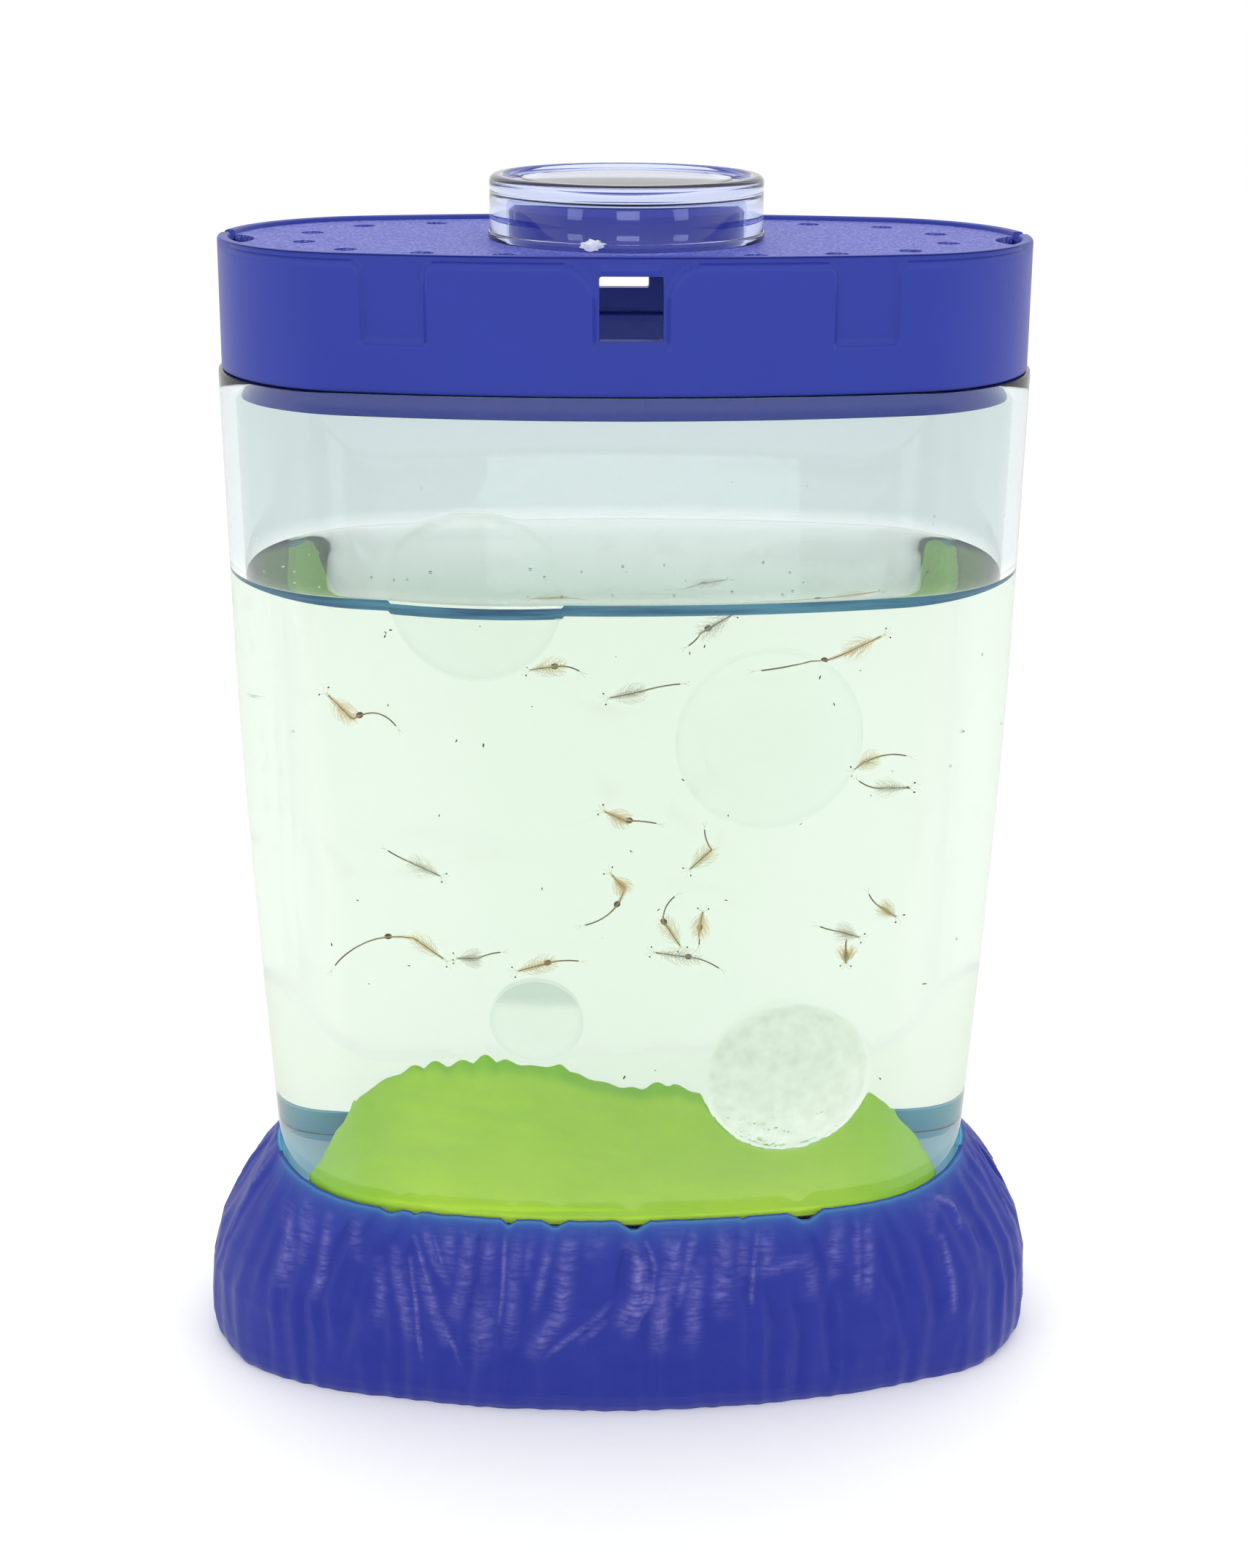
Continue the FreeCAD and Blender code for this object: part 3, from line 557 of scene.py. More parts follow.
# The crest against the back wall: place across and height over the floor
CREST = [(-44, 5.0), (-40.8, 5.8), (-36.3, 7.6), (-32.6, 9.6), (-27.1, 10.7), (-18.3, 10.5), (-12.4, 10.4),
         (-9.1, 9.4), (-4.3, 7.4), (2.7, 5.6), (7.6, 6.6), (12, 4.8), (17, 3.4), (26, 3.4), (31, 5.2),
         (34, 7.2), (36.7, 6.4), (41, 4.4), (44, 3.4)]
# Each low hill: place across and in depth, its width and length, how high it stands
HILLS = [(-29, -8, 13, 9, 1.2), (14, -11, 15, 8, 0.9)]
CORNER_ROUND = 2.0


def ground_height(x, y):
    """Height over the floor: a sheet that rises by a crease at the front and by the crest at the back."""
    half_depth = TUB_HALF_DEPTH - FOOT_TAPER - TUB_WALL
    back = np.clip((y / half_depth + 1) / 2, 0, 1)
    crest = np.interp(x, *zip(*CREST))
    height = GROUND_SHEET * 0.6 + crest * back ** 1.5
    for across, depth, width, length, rise in HILLS:
        height += rise * np.exp(-((x - across) / width) ** 2 - ((y - depth) / length) ** 2)
    # A low flange runs along the left of the front wall, under a step
    line = -half_depth + 2.2 + 3.2 * np.clip((-x - 36) / 9, 0, 1) ** 1.5
    step = np.clip((y - line) / 0.5, 0, 1) * np.clip((4 - x) / 12, 0, 1)
    return height + 0.5 * step


def ground_edge():
    """The bed's outline: the tub's inside at the floor, cut off along a bent line near both ends."""
    edge, _ = tub_oval(TUB_WALL + 0.3 + float(taper_at(GROUND_FLOOR + 2)), GROUND_COLUMNS)
    x, y = edge.T
    limit = np.interp(y, *zip(*GROUND_REACH))
    # On the left its corner reaches further in front and less far behind
    limit = limit + np.where(x < 0, np.interp(y, [-16, -6], [0.7, -1.6]), -0.4)
    limit = limit + np.array([0.5 * noise.noise(Vector((0, v / 3.0, 8))) for v in y])
    # The corners between the wall and the cut are rounded over
    share = np.clip(0.5 + 0.5 * (limit - np.abs(x)) / CORNER_ROUND, 0, 1)
    kept = limit * (1 - share) + np.abs(x) * share - CORNER_ROUND * share * (1 - share)
    return np.column_stack([np.sign(x) * np.minimum(kept, np.abs(x)), y])


def ground_mesh():
    """The bed: a flat underside, and a top swept in from the outline to the middle."""
    edge = ground_edge()
    rings = [level_ring(edge * share, GROUND_FLOOR) for share in (0.4, 0.995)]
    for share in np.concatenate([[1, 0.997, 0.99, 0.98], np.linspace(0.965, 0.02, 66)]):
        x, y = (edge * share).T
        height = ground_height(x, y)
        for i in range(GROUND_COLUMNS):
            spot = Vector((x[i], y[i], 0))
            # Its top edge is scalloped in bumps about 3 mm apart
            scallop = abs(noise.noise(Vector((x[i] / 3.4, 0, 4)))) - 0.2
            height[i] *= 1 + 0.05 * noise.noise(spot / 4.5) + 0.26 * scallop * share ** 8 * (y[i] > 8)
            height[i] += 0.10 * noise.noise(spot / 3.0)
        worn = {1: 0.55, 0.997: 0.85, 0.99: 0.96}.get(float(share), 1.0)
        rings.append(level_ring(edge * share, GROUND_FLOOR + height * worn))
    mesh = ring_mesh("ground", rings)
    soften(mesh, 60)
    return mesh


def green_polystyrene():
    """Lime green high impact polystyrene: opaque and waxy, with painted shade along its crest and ends, where
    the wall shades it.
    """
    material, tree, shader = new_material("lime_impact_polystyrene", Roughness=0.5, IOR=1.55)
    place_at = add(tree, "ShaderNodeTexCoord").outputs["Object"]
    colour, _ = mottled(tree, place_at, 9, 3.0, linear("#B2E33A"), linear("#C8F444"))
    # Painted shade: darker towards the back and the ends, where the wall shades the bed
    apart = add(tree, "ShaderNodeSeparateXYZ", None, {0: place_at}).outputs
    behind = add(tree, "ShaderNodeMapRange", {"interpolation_type": "SMOOTHSTEP"},
                 {"Value": apart["Y"], "From Min": 14.5 * MM, "From Max": 18.5 * MM})
    across = add(tree, "ShaderNodeMath", {"operation": "ABSOLUTE"}, {0: apart["X"]})
    ends = add(tree, "ShaderNodeMapRange", {"interpolation_type": "SMOOTHSTEP"},
               {"Value": across, "From Min": 26 * MM, "From Max": 44 * MM})
    painted_shade = add(tree, "ShaderNodeMath", {"operation": "MAXIMUM"}, {0: behind, 1: ends})
    painted_shade = add(tree, "ShaderNodeMath", {"operation": "MULTIPLY"}, {0: painted_shade, 1: 0.75})
    colour = add(tree, "ShaderNodeMix", {"data_type": "RGBA"},
                 {"Factor": painted_shade, 6: colour, 7: linear("#88D022")}).outputs[2]
    grain = add(tree, "ShaderNodeTexNoise", None,
                {"Vector": place_at, "Scale": 1 / (0.9 * MM), "Detail": 2.0})
    bump = add(tree, "ShaderNodeBump", None, {"Height": grain, "Strength": 0.12, "Distance": 0.15 * MM})
    fill(shader, {"Base Color": colour, "Normal": bump})
    return material


place(ground_mesh(), "tank", green_polystyrene(), "green_ground", "seabed")

# Water: the tub is filled to about three quarters with slightly green salt water. It wets the wall, so its
# surface climbs there. The form laps 0.05 mm into the wall, so no film of air shows between them.
WATER_LEVEL = 117.2
WALL_LAP = 0.05
CLIMB_REACH = 1.1


def water_mesh():
    """The water's skin: up the wall to its wet rim, then in over the surface to the level middle."""
    wet = TUB_WALL - WALL_LAP
    rings = [wall_ring(z, wet) for z in np.concatenate([[TUB_FLOOR - WALL_LAP], np.linspace(29, 38, 8),
                                                        np.linspace(39, WATER_LEVEL - 1.1, 120)])]
    level = wall_ring(WATER_LEVEL, wet)
    _, outward = tub_oval(wet, WALL_STEPS)
    # The wet rim is taller along the front than round the ends and the back
    front = np.clip(-outward[:, 1], 0, 1) ** 3
    climb = 0.25 + 0.3 * front
    first_wet_row = len(rings)
    for share in (0.0, 0.15, 0.3, 0.45, 0.6, 0.75, 0.9, 1.0):
        height = (WATER_LEVEL - 0.2 - 0.65 * front) * (1 - share) + (WATER_LEVEL + climb) * share
        ring = wall_ring(WATER_LEVEL - 0.9 + 1.4 * share, wet)
        # Through the upper left bubble the wet rim shows a little lower
        ring[:, 2] = height - 0.4 * ((np.abs(ring[:, 0] - BUBBLES[0][0]) < BUBBLES[0][2]) & (ring[:, 1] < 0))
        rings.append(ring)
    last_wet_row = len(rings) - 1
    for inward in list(np.linspace(0.08, 1.0, 9)) + [1.4, 1.9, 2.5, 3.2, 4.2, 5.5, 7.5]:
        ring = level.copy()
        ring[:, :2] -= outward * inward
        ring[:, 2] = WATER_LEVEL + climb * math.exp(-inward / CLIMB_REACH)
        rings.append(ring)
    mesh = ring_mesh("tank_water", rings)
    columns = len(WALL_STEPS)
    reflection_faces = np.zeros(len(mesh.polygons), dtype=np.int32)
    # Only the front and the ends get the painted reflection on their wet rim
    shown = outward[:, 1] < 0.05
    for row in range(first_wet_row, last_wet_row):
        reflection_faces[row * columns:(row + 1) * columns] = shown
    mesh.materials.append(salt_water())
    mesh.materials.append(rim_reflection_paint())
    mesh.polygons.foreach_set("material_index", reflection_faces)
    soften(mesh, 50)
    return mesh


def salt_water():
    """Salt water with a trace of algae: clear, and pale green over a hand's depth, by faint absorption."""
    material, tree, _ = new_material("green_salt_water", Base_Color=(1, 1, 1, 1), Roughness=0.0, IOR=1.336,
                                     Transmission_Weight=1.0)
    tint = add(tree, "ShaderNodeVolumeAbsorption", None, {"Color": linear("#A2CA9C"), "Density": 10.5})
    fill(tree.nodes["Material Output"], {"Volume": tint})
    return material


def rim_reflection_paint():
    """The water's wet rim on the wall, with a painted reflection of the blue foot below, so it reads as a
    dark blue line.
    """
    material, tree, shader = new_material("wet_rim_of_water", Roughness=0.1, IOR=1.336,
                                          Transmission_Weight=0.3)
    place_at = add(tree, "ShaderNodeTexCoord").outputs["Object"]
    # Level streaks about 0.7 mm apart in the painted reflection
    squeeze = add(tree, "ShaderNodeMapping", None, {"Vector": place_at, "Scale": (0.04, 0.04, 1.0)})
    streaks = add(tree, "ShaderNodeTexNoise", None,
                  {"Vector": squeeze, "Scale": 1 / (0.7 * MM), "Detail": 2.0})
    streaks = add(tree, "ShaderNodeMapRange", None, {"Value": streaks, "From Min": 0.35, "From Max": 0.65})
    colour = add(tree, "ShaderNodeMix", {"data_type": "RGBA"},
                 {"Factor": streaks, 6: linear("#0F3558"), 7: linear("#33708A")}).outputs[2]
    fill(shader, {"Base Color": colour})
    return material


water = place(water_mesh(), "tank", None, "water", "water")
water.visible_shadow = False

# Shrimps: twenty grown brine shrimps, each with eyes on stalks, eleven pairs of leaf legs, a dark gut, a
# long thin abdomen with a forked end and, on the females, an egg sac. One tree grows each along its spine.
EGG_SAC = 0.42
LEG_SWAY = 12
# The angles in degrees at which legs stand round the chest, give or take LEG_SWAY
LEG_ROLLS = (28, 62, 96, 130, 206, 240, 274, 308)
# Each: depth, head, waist and tail tip as (across, up), the tail's bow, and 1 if it carries eggs
SHRIMPS = [
    (-4.0, (13.5, 112.5), (9.5, 110.0), (7.5, 108.0), 0.2, 1),
    (-8.0, (33.0, 110.5), (28.0, 108.0), (16.0, 105.0), 0.5, 1),
    (-6.0, (-12.5, 105.5), (-8.0, 106.0), (-5.5, 105.0), 0.2, 1),
    (-10.0, (-2.5, 102.5), (2.0, 103.5), (7.5, 104.5), 0.2, 0),
    (-12.0, (-38.0, 103.5), (-35.0, 100.0), (-29.0, 98.5), 1.6, 1),
    (-6.0, (29.0, 91.5), (32.5, 93.0), (37.0, 93.0), 0.4, 0),
    (2.0, (37.5, 86.5), (33.5, 86.5), (30.5, 88.0), 0.3, 0),
    (-10.0, (-3.0, 87.0), (0.0, 85.5), (4.5, 85.0), 0.2, 1),
    (-2.0, (8.5, 76.0), (11.5, 79.0), (10.5, 82.5), 0.3, 0),
    (-12.0, (-24.0, 78.0), (-28.0, 80.0), (-31.5, 82.0), 0.1, 0),
    (-6.0, (-2.0, 77.0), (0.0, 74.5), (-6.0, 69.0), 1.3, 1),
    (-10.0, (7.5, 67.0), (5.0, 71.0), (7.0, 75.0), 0.6, 1),
    (2.0, (4.0, 62.5), (10.0, 61.5), (13.5, 59.5), 0.2, 1),
    (-2.0, (10.5, 70.0), (10.0, 66.5), (10.0, 64.5), 0.1, 1),
    (-4.0, (36.5, 69.0), (34.5, 70.5), (32.5, 73.0), 0.3, 0),
    (-10.0, (31.5, 68.0), (28.5, 69.0), (25.5, 70.0), 0.1, 0),
    (-2.0, (30.0, 61.5), (30.0, 63.5), (30.0, 65.5), 0.1, 0),
    (-12.0, (-23.5, 65.5), (-28.0, 69.0), (-39.0, 63.5), -2.2, 1),
    (-4.0, (-22.5, 63.5), (-19.5, 63.5), (-16.0, 64.5), 0.2, 0),
    (-10.0, (-14.5, 63.5), (-9.5, 65.0), (-5.5, 65.0), 0.2, 1),
]


def flesh(name, colour, roughness, alpha):
    """Shrimp tissue: thin, wet and see-through, so the water and the gut show through it."""
    material, tree, shader = new_material(name, Roughness=roughness, IOR=1.36, Alpha=alpha)
    place_at = add(tree, "ShaderNodeTexCoord").outputs["Object"]
    dark = [c * 0.8 for c in linear(colour)[:3]] + [1.0]
    fill(shader, {"Base Color": mottled(tree, place_at, 0.8, 3.0, dark, linear(colour))[0]})
    return material


body_flesh = flesh("shrimp_flesh", "#DCCB86", 0.3, 0.2)
leg_film = flesh("shrimp_leg_film", "#E3D08C", 0.4, 0.2)
gut_brown = flesh("shrimp_gut", "#66562B", 0.5, 0.85)
# The flesh and the leg film of shrimps that have fed on different things
FED_ON = [(body_flesh, leg_film),
          (flesh("grey_shrimp_flesh", "#C8C4A8", 0.3, 0.2),
           flesh("grey_shrimp_leg_film", "#D0CCB2", 0.4, 0.2)),
          (flesh("amber_shrimp_flesh", "#DCC078", 0.3, 0.22),
           flesh("amber_shrimp_leg_film", "#E3C680", 0.4, 0.22))]
egg_brown = flesh("shrimp_eggs", "#4B3020", 0.4, 0.95)
eye_black = flesh("shrimp_eyes", "#141210", 0.2, 1.0)


def shape_by(tree, points, share):
    """A value that follows a curve through points as share runs from 0 to 1."""
    node = add(tree, "ShaderNodeFloatCurve", None, {"Value": share})
    line = node.mapping.curves[0]
    line.points[0].location = points[0]
    line.points[1].location = points[-1]
    for point in points[1:-1]:
        line.points.new(*point)
    node.mapping.update()
    return node.outputs[0]


def growing_tree(name, start, result, **values):
    """A geometry tree that makes a result from a start, with a named input for each value."""
    tree = bpy.data.node_groups.new(name, "GeometryNodeTree")
    tree.interface.new_socket(name=start, in_out="INPUT", socket_type="NodeSocketGeometry")
    for key, value in values.items():
        kind = "NodeSocketInt" if isinstance(value, int) else "NodeSocketFloat"
        socket = tree.interface.new_socket(name=key.replace("_", " "), in_out="INPUT", socket_type=kind)
        socket.default_value = value
    tree.interface.new_socket(name=result, in_out="OUTPUT", socket_type="NodeSocketGeometry")
    return tree, add(tree, "NodeGroupInput").outputs


def shrimp_tree():
    """Grows a shrimp along a spine of edges that runs from the head to the tail tip."""
    tree, given = growing_tree("brine_shrimp", "Spine", "Shrimp", Body_radius=0.36 * MM,
                               Leg_length=1.7 * MM, Egg_sac_radius=0.0, Thorax_share=0.5,
                               Gut_radius=0.1 * MM, Leg_pairs=11, Seed=0)
    spine = add(tree, "GeometryNodeMeshToCurve", None, {"Mesh": given["Spine"]})
    spine = add(tree, "GeometryNodeResampleCurve", None, {"Curve": spine, "Count": 40})
    share = add(tree, "GeometryNodeSplineParameter").outputs["Factor"]

    def tube(curve, width, sides, material):
        """A round tube whose radius is the given field."""
        sized = add(tree, "GeometryNodeSetCurveRadius", None, {"Curve": curve, "Radius": width})
        ring = add(tree, "GeometryNodeCurvePrimitiveCircle", None, {"Resolution": sides, "Radius": 1.0})
        skin = add(tree, "GeometryNodeCurveToMesh", None,
                   {"Curve": sized, "Profile Curve": ring, "Fill Caps": True, "Scale": width})
        return add(tree, "GeometryNodeSetMaterial", None, {"Geometry": skin, "Material": material})

    def facing(tangent):
        """Turned along the spine, with its flat side to the front."""
        aim = add(tree, "FunctionNodeAlignRotationToVector", {"axis": "X"}, {"Vector": tangent})
        return add(tree, "FunctionNodeAlignRotationToVector", {"axis": "Y", "pivot_axis": "X"},
                   {"Rotation": aim, "Vector": (0, 1, 0)})

    def joined(items):
        """All the items as one geometry."""
        whole = add(tree, "GeometryNodeJoinGeometry")
        for item in items:
            fill(whole, {0: item})
        return whole

    # The body is widest in the thorax and narrows to the tail
    girth = shape_by(tree, [(0, 0.45), (0.05, 0.62), (0.2, 1.0), (0.36, 0.85), (0.5, 0.46), (0.75, 0.25),
                            (1, 0.14)], share)
    girth = add(tree, "ShaderNodeMath", {"operation": "MULTIPLY"}, {0: girth, 1: given["Body radius"]})
    parts = [tube(spine, girth, 10, body_flesh)]
    inner = add(tree, "GeometryNodeTrimCurve", None, {"Curve": spine, 2: 0.04, 3: 0.93})
    parts.append(tube(inner, given["Gut radius"], 6, gut_brown))

    # One leaf leg of unit length, bent back and tapered to its tip
    leaf = add(tree, "GeometryNodeCurvePrimitiveBezierSegment", None,
               {"Resolution": 5, "Start": (0, 0, 0.1), "Start Handle": (0.05, 0, 0.5),
                "End Handle": (0.25, 0, 0.85), "End": (0.62, 0, 1.0)})
    blade = add(tree, "GeometryNodeCurvePrimitiveLine", None, {"Start": (-0.24, 0, 0), "End": (0.24, 0, 0)})
    leaf_width = shape_by(tree, [(0, 0.7), (0.45, 1.3), (1, 0.3)],
                          add(tree, "GeometryNodeSplineParameter").outputs["Factor"])
    leaf = add(tree, "GeometryNodeCurveToMesh", None,
               {"Curve": leaf, "Profile Curve": blade, "Scale": leaf_width})
    leaf = add(tree, "GeometryNodeSetMaterial", None, {"Geometry": leaf, "Material": leg_film})

    # Legs stand in pairs along the thorax, each a little off the last
    chest = add(tree, "GeometryNodeTrimCurve", None, {"Curve": spine, 2: 0.1, 3: given["Thorax share"]})
    stations = add(tree, "GeometryNodeCurveToPoints", {"mode": "COUNT"},
                   {"Curve": chest, "Count": given["Leg pairs"]})
    along = facing(stations.outputs["Tangent"])
    index = add(tree, "GeometryNodeInputIndex")
    order = add(tree, "ShaderNodeMath", {"operation": "DIVIDE"}, {0: index, 1: given["Leg pairs"]})
    reach = shape_by(tree, [(0, 0.55), (0.35, 1.0), (0.7, 0.85), (1, 0.4)], order)
    reach = add(tree, "ShaderNodeMath", {"operation": "MULTIPLY"}, {0: reach, 1: given["Leg length"]})
    for number, roll in enumerate(LEG_ROLLS):
        draw = add(tree, "ShaderNodeMath", {"operation": "ADD"}, {0: index, 1: 20.0 * number})
        sway = add(tree, "FunctionNodeRandomValue", {"data_type": "FLOAT"},
                   {"Min": math.radians(roll - LEG_SWAY), "Max": math.radians(roll + LEG_SWAY),
                    "Seed": given["Seed"], "ID": draw}).outputs[1]
        turn = add(tree, "ShaderNodeCombineXYZ", None, {"X": sway})
        turned = add(tree, "FunctionNodeRotateRotation", {"rotation_space": "LOCAL"},
                     {"Rotation": along, "Rotate By": turn})
        parts.append(add(tree, "GeometryNodeInstanceOnPoints", None,
                         {"Points": stations, "Instance": leaf, "Rotation": turned, "Scale": reach}))

    # Eyes on short stalks at the head, antennae before them, the fork at the tail and the egg sac
    def at_share(low, high, items):
        """Puts items on the spine between two shares of its length."""
        piece = add(tree, "GeometryNodeTrimCurve", None, {"Curve": spine, 2: low, 3: high})
        spot = add(tree, "GeometryNodeCurveToPoints", {"mode": "COUNT"}, {"Curve": piece, "Count": 1})
        return add(tree, "GeometryNodeInstanceOnPoints", None,
                   {"Points": spot, "Instance": items, "Rotation": facing(spot.outputs["Tangent"])})

    def ball(radius, centre, material, stretch=(1, 1, 1)):
        """A ball, stretched along each direction."""
        sphere = add(tree, "GeometryNodeMeshIcoSphere", None, {"Radius": radius, "Subdivisions": 3})
        moved = add(tree, "GeometryNodeTransform", None,
                    {"Geometry": sphere, "Translation": centre, "Scale": stretch})
        return add(tree, "GeometryNodeSetMaterial", None, {"Geometry": moved, "Material": material})

    def wisp(width, *points):
        """A thin bent thread: its start, two handles and its end in millimetres."""
        start, start_handle, end_handle, end = [[c * MM for c in point] for point in points]
        line = add(tree, "GeometryNodeCurvePrimitiveBezierSegment", None,
                   {"Resolution": 8, "Start": start, "Start Handle": start_handle, "End Handle": end_handle,
                    "End": end})
        return tube(line, width * MM, 5, body_flesh)

    head, tail = [], []
    for side in (-1, 1):
        eye = (-0.3, 0.15 * side, 0.72 * side)
        head.append(ball(0.12 * MM, [c * MM for c in eye], eye_black))
        head.append(wisp(0.05, (0.3, 0, 0), (0, 0, 0.3 * side), (-0.2, 0, 0.5 * side), eye))
        head.append(wisp(0.03, (-0.1, 0, 0.1 * side), (-0.5, 0, 0.2 * side), (-0.7, 0, 0.3 * side),
                         (-0.9, 0.1, 0.6 * side)))
        tail.append(wisp(0.05, (0, 0, 0.05 * side), (0.3, 0, 0.1 * side), (0.5, 0, 0.16 * side),
                         (0.7, 0, 0.3 * side)))
    parts.append(at_share(0.0, 0.02, joined(head)))
    parts.append(at_share(0.98, 1.0, joined(tail)))
    sac = ball(given["Egg sac radius"], (0, 0.3 * MM, 0), egg_brown, (1.2, 0.9, 1.0))
    parts.append(at_share(0.48, 0.5, sac))

    solid = add(tree, "GeometryNodeRealizeInstances", None, {"Geometry": joined(parts)})
    smooth = add(tree, "GeometryNodeSetShadeSmooth", None, {"Geometry": solid})
    add(tree, "NodeGroupOutput", None, {0: smooth})
    return tree


def spine_points(depth, head, waist, tail, bow):
    """The spine from the head by the waist to the tail tip, with the tail bowed."""
    head, waist, tail = (Vector((p[0], depth, p[1])) for p in (head, waist, tail))
    run = tail - waist
    bend = Vector((-run.z, 0, run.x)).normalized()
    chest = [head.lerp(waist, k / 6) for k in range(6)]
    end = [waist + run * (k / 8) + bend * (4 * bow * (k / 8) * (1 - k / 8)) for k in range(9)]
    return chest + end


def grow(tree, name, points, **values):
    """Runs a geometry tree on a line of points in millimetres and returns the plain mesh."""
    line = bpy.data.meshes.new(name + "_line")
    line.from_pydata([p * MM for p in points], [(i, i + 1) for i in range(len(points) - 1)], [])
    carrier = put(name + "_carrier", line)
    modifier = carrier.modifiers.new("grow", "NODES")
    modifier.node_group = tree
    for socket in tree.interface.items_tree:
        key = socket.name.replace(" ", "_")
        if key in values:
            modifier[socket.identifier] = values[key]
    mesh = bpy.data.meshes.new_from_object(carrier.evaluated_get(bpy.context.evaluated_depsgraph_get()))
    carrier.modifiers.clear()
    bpy.data.objects.remove(carrier)
    mesh.name = name
    return mesh


tree_for_shrimp = shrimp_tree()
for number, (depth, head, waist, tail, bow, eggs) in enumerate(SHRIMPS, 1):
    points = spine_points(depth, head, waist, tail, bow)
    length = sum((b - a).length for a, b in zip(points, points[1:]))
    chest = (Vector(waist) - Vector(head)).length
    mesh = grow(tree_for_shrimp, "brine_shrimp_%02d" % number, points, Thorax_share=chest / length,
                Egg_sac_radius=EGG_SAC * MM * eggs, Seed=number)
    # Neighbours have fed on different things, so their colours differ
    for slot, worn in enumerate(mesh.materials):
        if worn in (body_flesh, leg_film):
            mesh.materials[slot] = FED_ON[number % len(FED_ON)][worn == leg_film]
    place(mesh, "tank", None, "shrimp", "shrimp_%02d" % number)

# Specks and drops: bits of food and shed skin that drift in the water, and fine drops and air bubbles that
# cling to the inside of the wall. Both are strewn in the same way over seeded places.
SPECKS = 34
SPECK_RADIUS = 0.2
DROPS = 90
DROP_RADIUS = 0.22
SEED = 5


def strew_tree(name, material, squash):
    """Puts a small ball on every given point, each of its own size and turned its own way."""
    tree, given = growing_tree(name, "Places", "Strewn", Radius=0.1 * MM, Seed=0)
    ball = add(tree, "GeometryNodeMeshIcoSphere", None, {"Radius": 1.0, "Subdivisions": 2})
    ball = add(tree, "GeometryNodeTransform", None, {"Geometry": ball, "Scale": squash})
    size = add(tree, "FunctionNodeRandomValue", {"data_type": "FLOAT"},
               {"Min": 0.4, "Max": 1.0, "Seed": given["Seed"]}).outputs[1]
    size = add(tree, "ShaderNodeMath", {"operation": "MULTIPLY"}, {0: size, 1: given["Radius"]})
    turn = add(tree, "FunctionNodeRandomValue", {"data_type": "FLOAT_VECTOR"},
               {"Max": (6.28, 6.28, 6.28), "Seed": given["Seed"]})
    spots = add(tree, "GeometryNodeMeshToPoints", None, {"Mesh": given["Places"]})
    strewn = add(tree, "GeometryNodeInstanceOnPoints", None,
                 {"Points": spots, "Instance": ball, "Rotation": turn, "Scale": size})
    solid = add(tree, "GeometryNodeRealizeInstances", None, {"Geometry": strewn})
    solid = add(tree, "GeometryNodeSetShadeSmooth", None, {"Geometry": solid})
    solid = add(tree, "GeometryNodeSetMaterial", None, {"Geometry": solid, "Material": material})
    add(tree, "NodeGroupOutput", None, {0: solid})
    return tree


def drop_water():
    """A drop of water or bubble of air on the wall: it bends light hard, so a bright dot in a dark ring."""
    return new_material("drop_water", Base_Color=(1, 1, 1, 1), Roughness=0.0, IOR=1.8,
                        Transmission_Weight=1.0)[0]


chance = np.random.default_rng(11)
drifting = np.column_stack([chance.uniform(-41, 41, SPECKS), chance.uniform(-18, 12, SPECKS),
                            40 + 75 * chance.random(SPECKS) ** 0.6])
clinging = []
# Drops hang all round above the water, and bubbles at the ends below it: from and to which height, how many,
# how far inside the wall, and how far across they begin
for low, high, count, inset, begin in ((118.6, 124, DROPS // 2, 0.1, 0), (60, 115, DROPS, 0.3, 36)):
    for height, spot in zip(chance.uniform(low, high, count), chance.integers(0, len(WALL_STEPS), count)):
        at = wall_ring(height, TUB_WALL + inset)[spot]
        if abs(at[0]) > begin:
            clinging.append(at)
for name, places, radius, material, squash, slot in (
        ("drifting_specks", drifting, SPECK_RADIUS, flesh("food_and_shed_skin", "#2E2E22", 0.6, 0.85),
         (1.6, 0.6, 0.6), "shrimp"),
        ("wall_drops", np.array(clinging), DROP_RADIUS, drop_water(), (1, 1, 1), "water")):
    mesh = grow(strew_tree(name, material, squash), name, [Vector(p) for p in places], Radius=radius * MM,
                Seed=SEED)
    strewn = place(mesh, "tank", material, slot)
    strewn.visible_shadow = False

# Lid ring: a blue moulded skirt that stands on the tub's rim, with a plug wall inside the tub's mouth. Its
# long faces have raised panels with rounded shoulders between shallow pockets, and a square window each.
RING_FOOT = 143.6
RING_TOP = 159.9
PANEL_RELIEF = 0.55
PANEL_SLOPE = 0.55
PANEL_TOP_GAP = 1.05
POCKET_CENTRE = 28.2
POCKET_HALF = 3.8
POCKET_HEIGHT = 10.4
WINDOW_HALF = 3.8
WINDOW_SILL = 6.5
WINDOW_HEIGHT = 7.5
WINDOW_ROUND = 0.3
SHOULDER_SMALL = 1.3
SHOULDER_LARGE = 4.2
RING_COLUMNS = 1100
SKIRT_ROWS = 46
RIM_ROUND = 0.45
LEDGE = 157.75
PLUG_TOP = 146.7
PLUG_LOW = 140.4


def blue_polypropylene():
    """Plain blue polypropylene off a satin mould: deep blue, low gloss, with a faint orange peel."""
    material, tree, shader = new_material("satin_blue_polypropylene", Roughness=0.38, IOR=1.49,
                                          Specular_IOR_Level=0.4)
    place_at = add(tree, "ShaderNodeTexCoord").outputs["Object"]
    colour, _ = mottled(tree, place_at, 14, 3.0, linear("#1F2F8D"), linear("#233395"))
    peel = add(tree, "ShaderNodeTexNoise", None, {"Vector": place_at, "Scale": 1 / (0.5 * MM), "Detail": 2.0})
    bump = add(tree, "ShaderNodeBump", None, {"Height": peel, "Strength": 0.15, "Distance": 0.08 * MM})
    fill(shader, {"Base Color": colour, "Normal": bump})
    return material


def rounded_union(a, b, radius):
    """Distance to two joined shapes whose meeting corners are rounded."""
    return np.maximum(radius, np.minimum(a, b)) - np.hypot(np.maximum(radius - a, 0),
                                                           np.maximum(radius - b, 0))


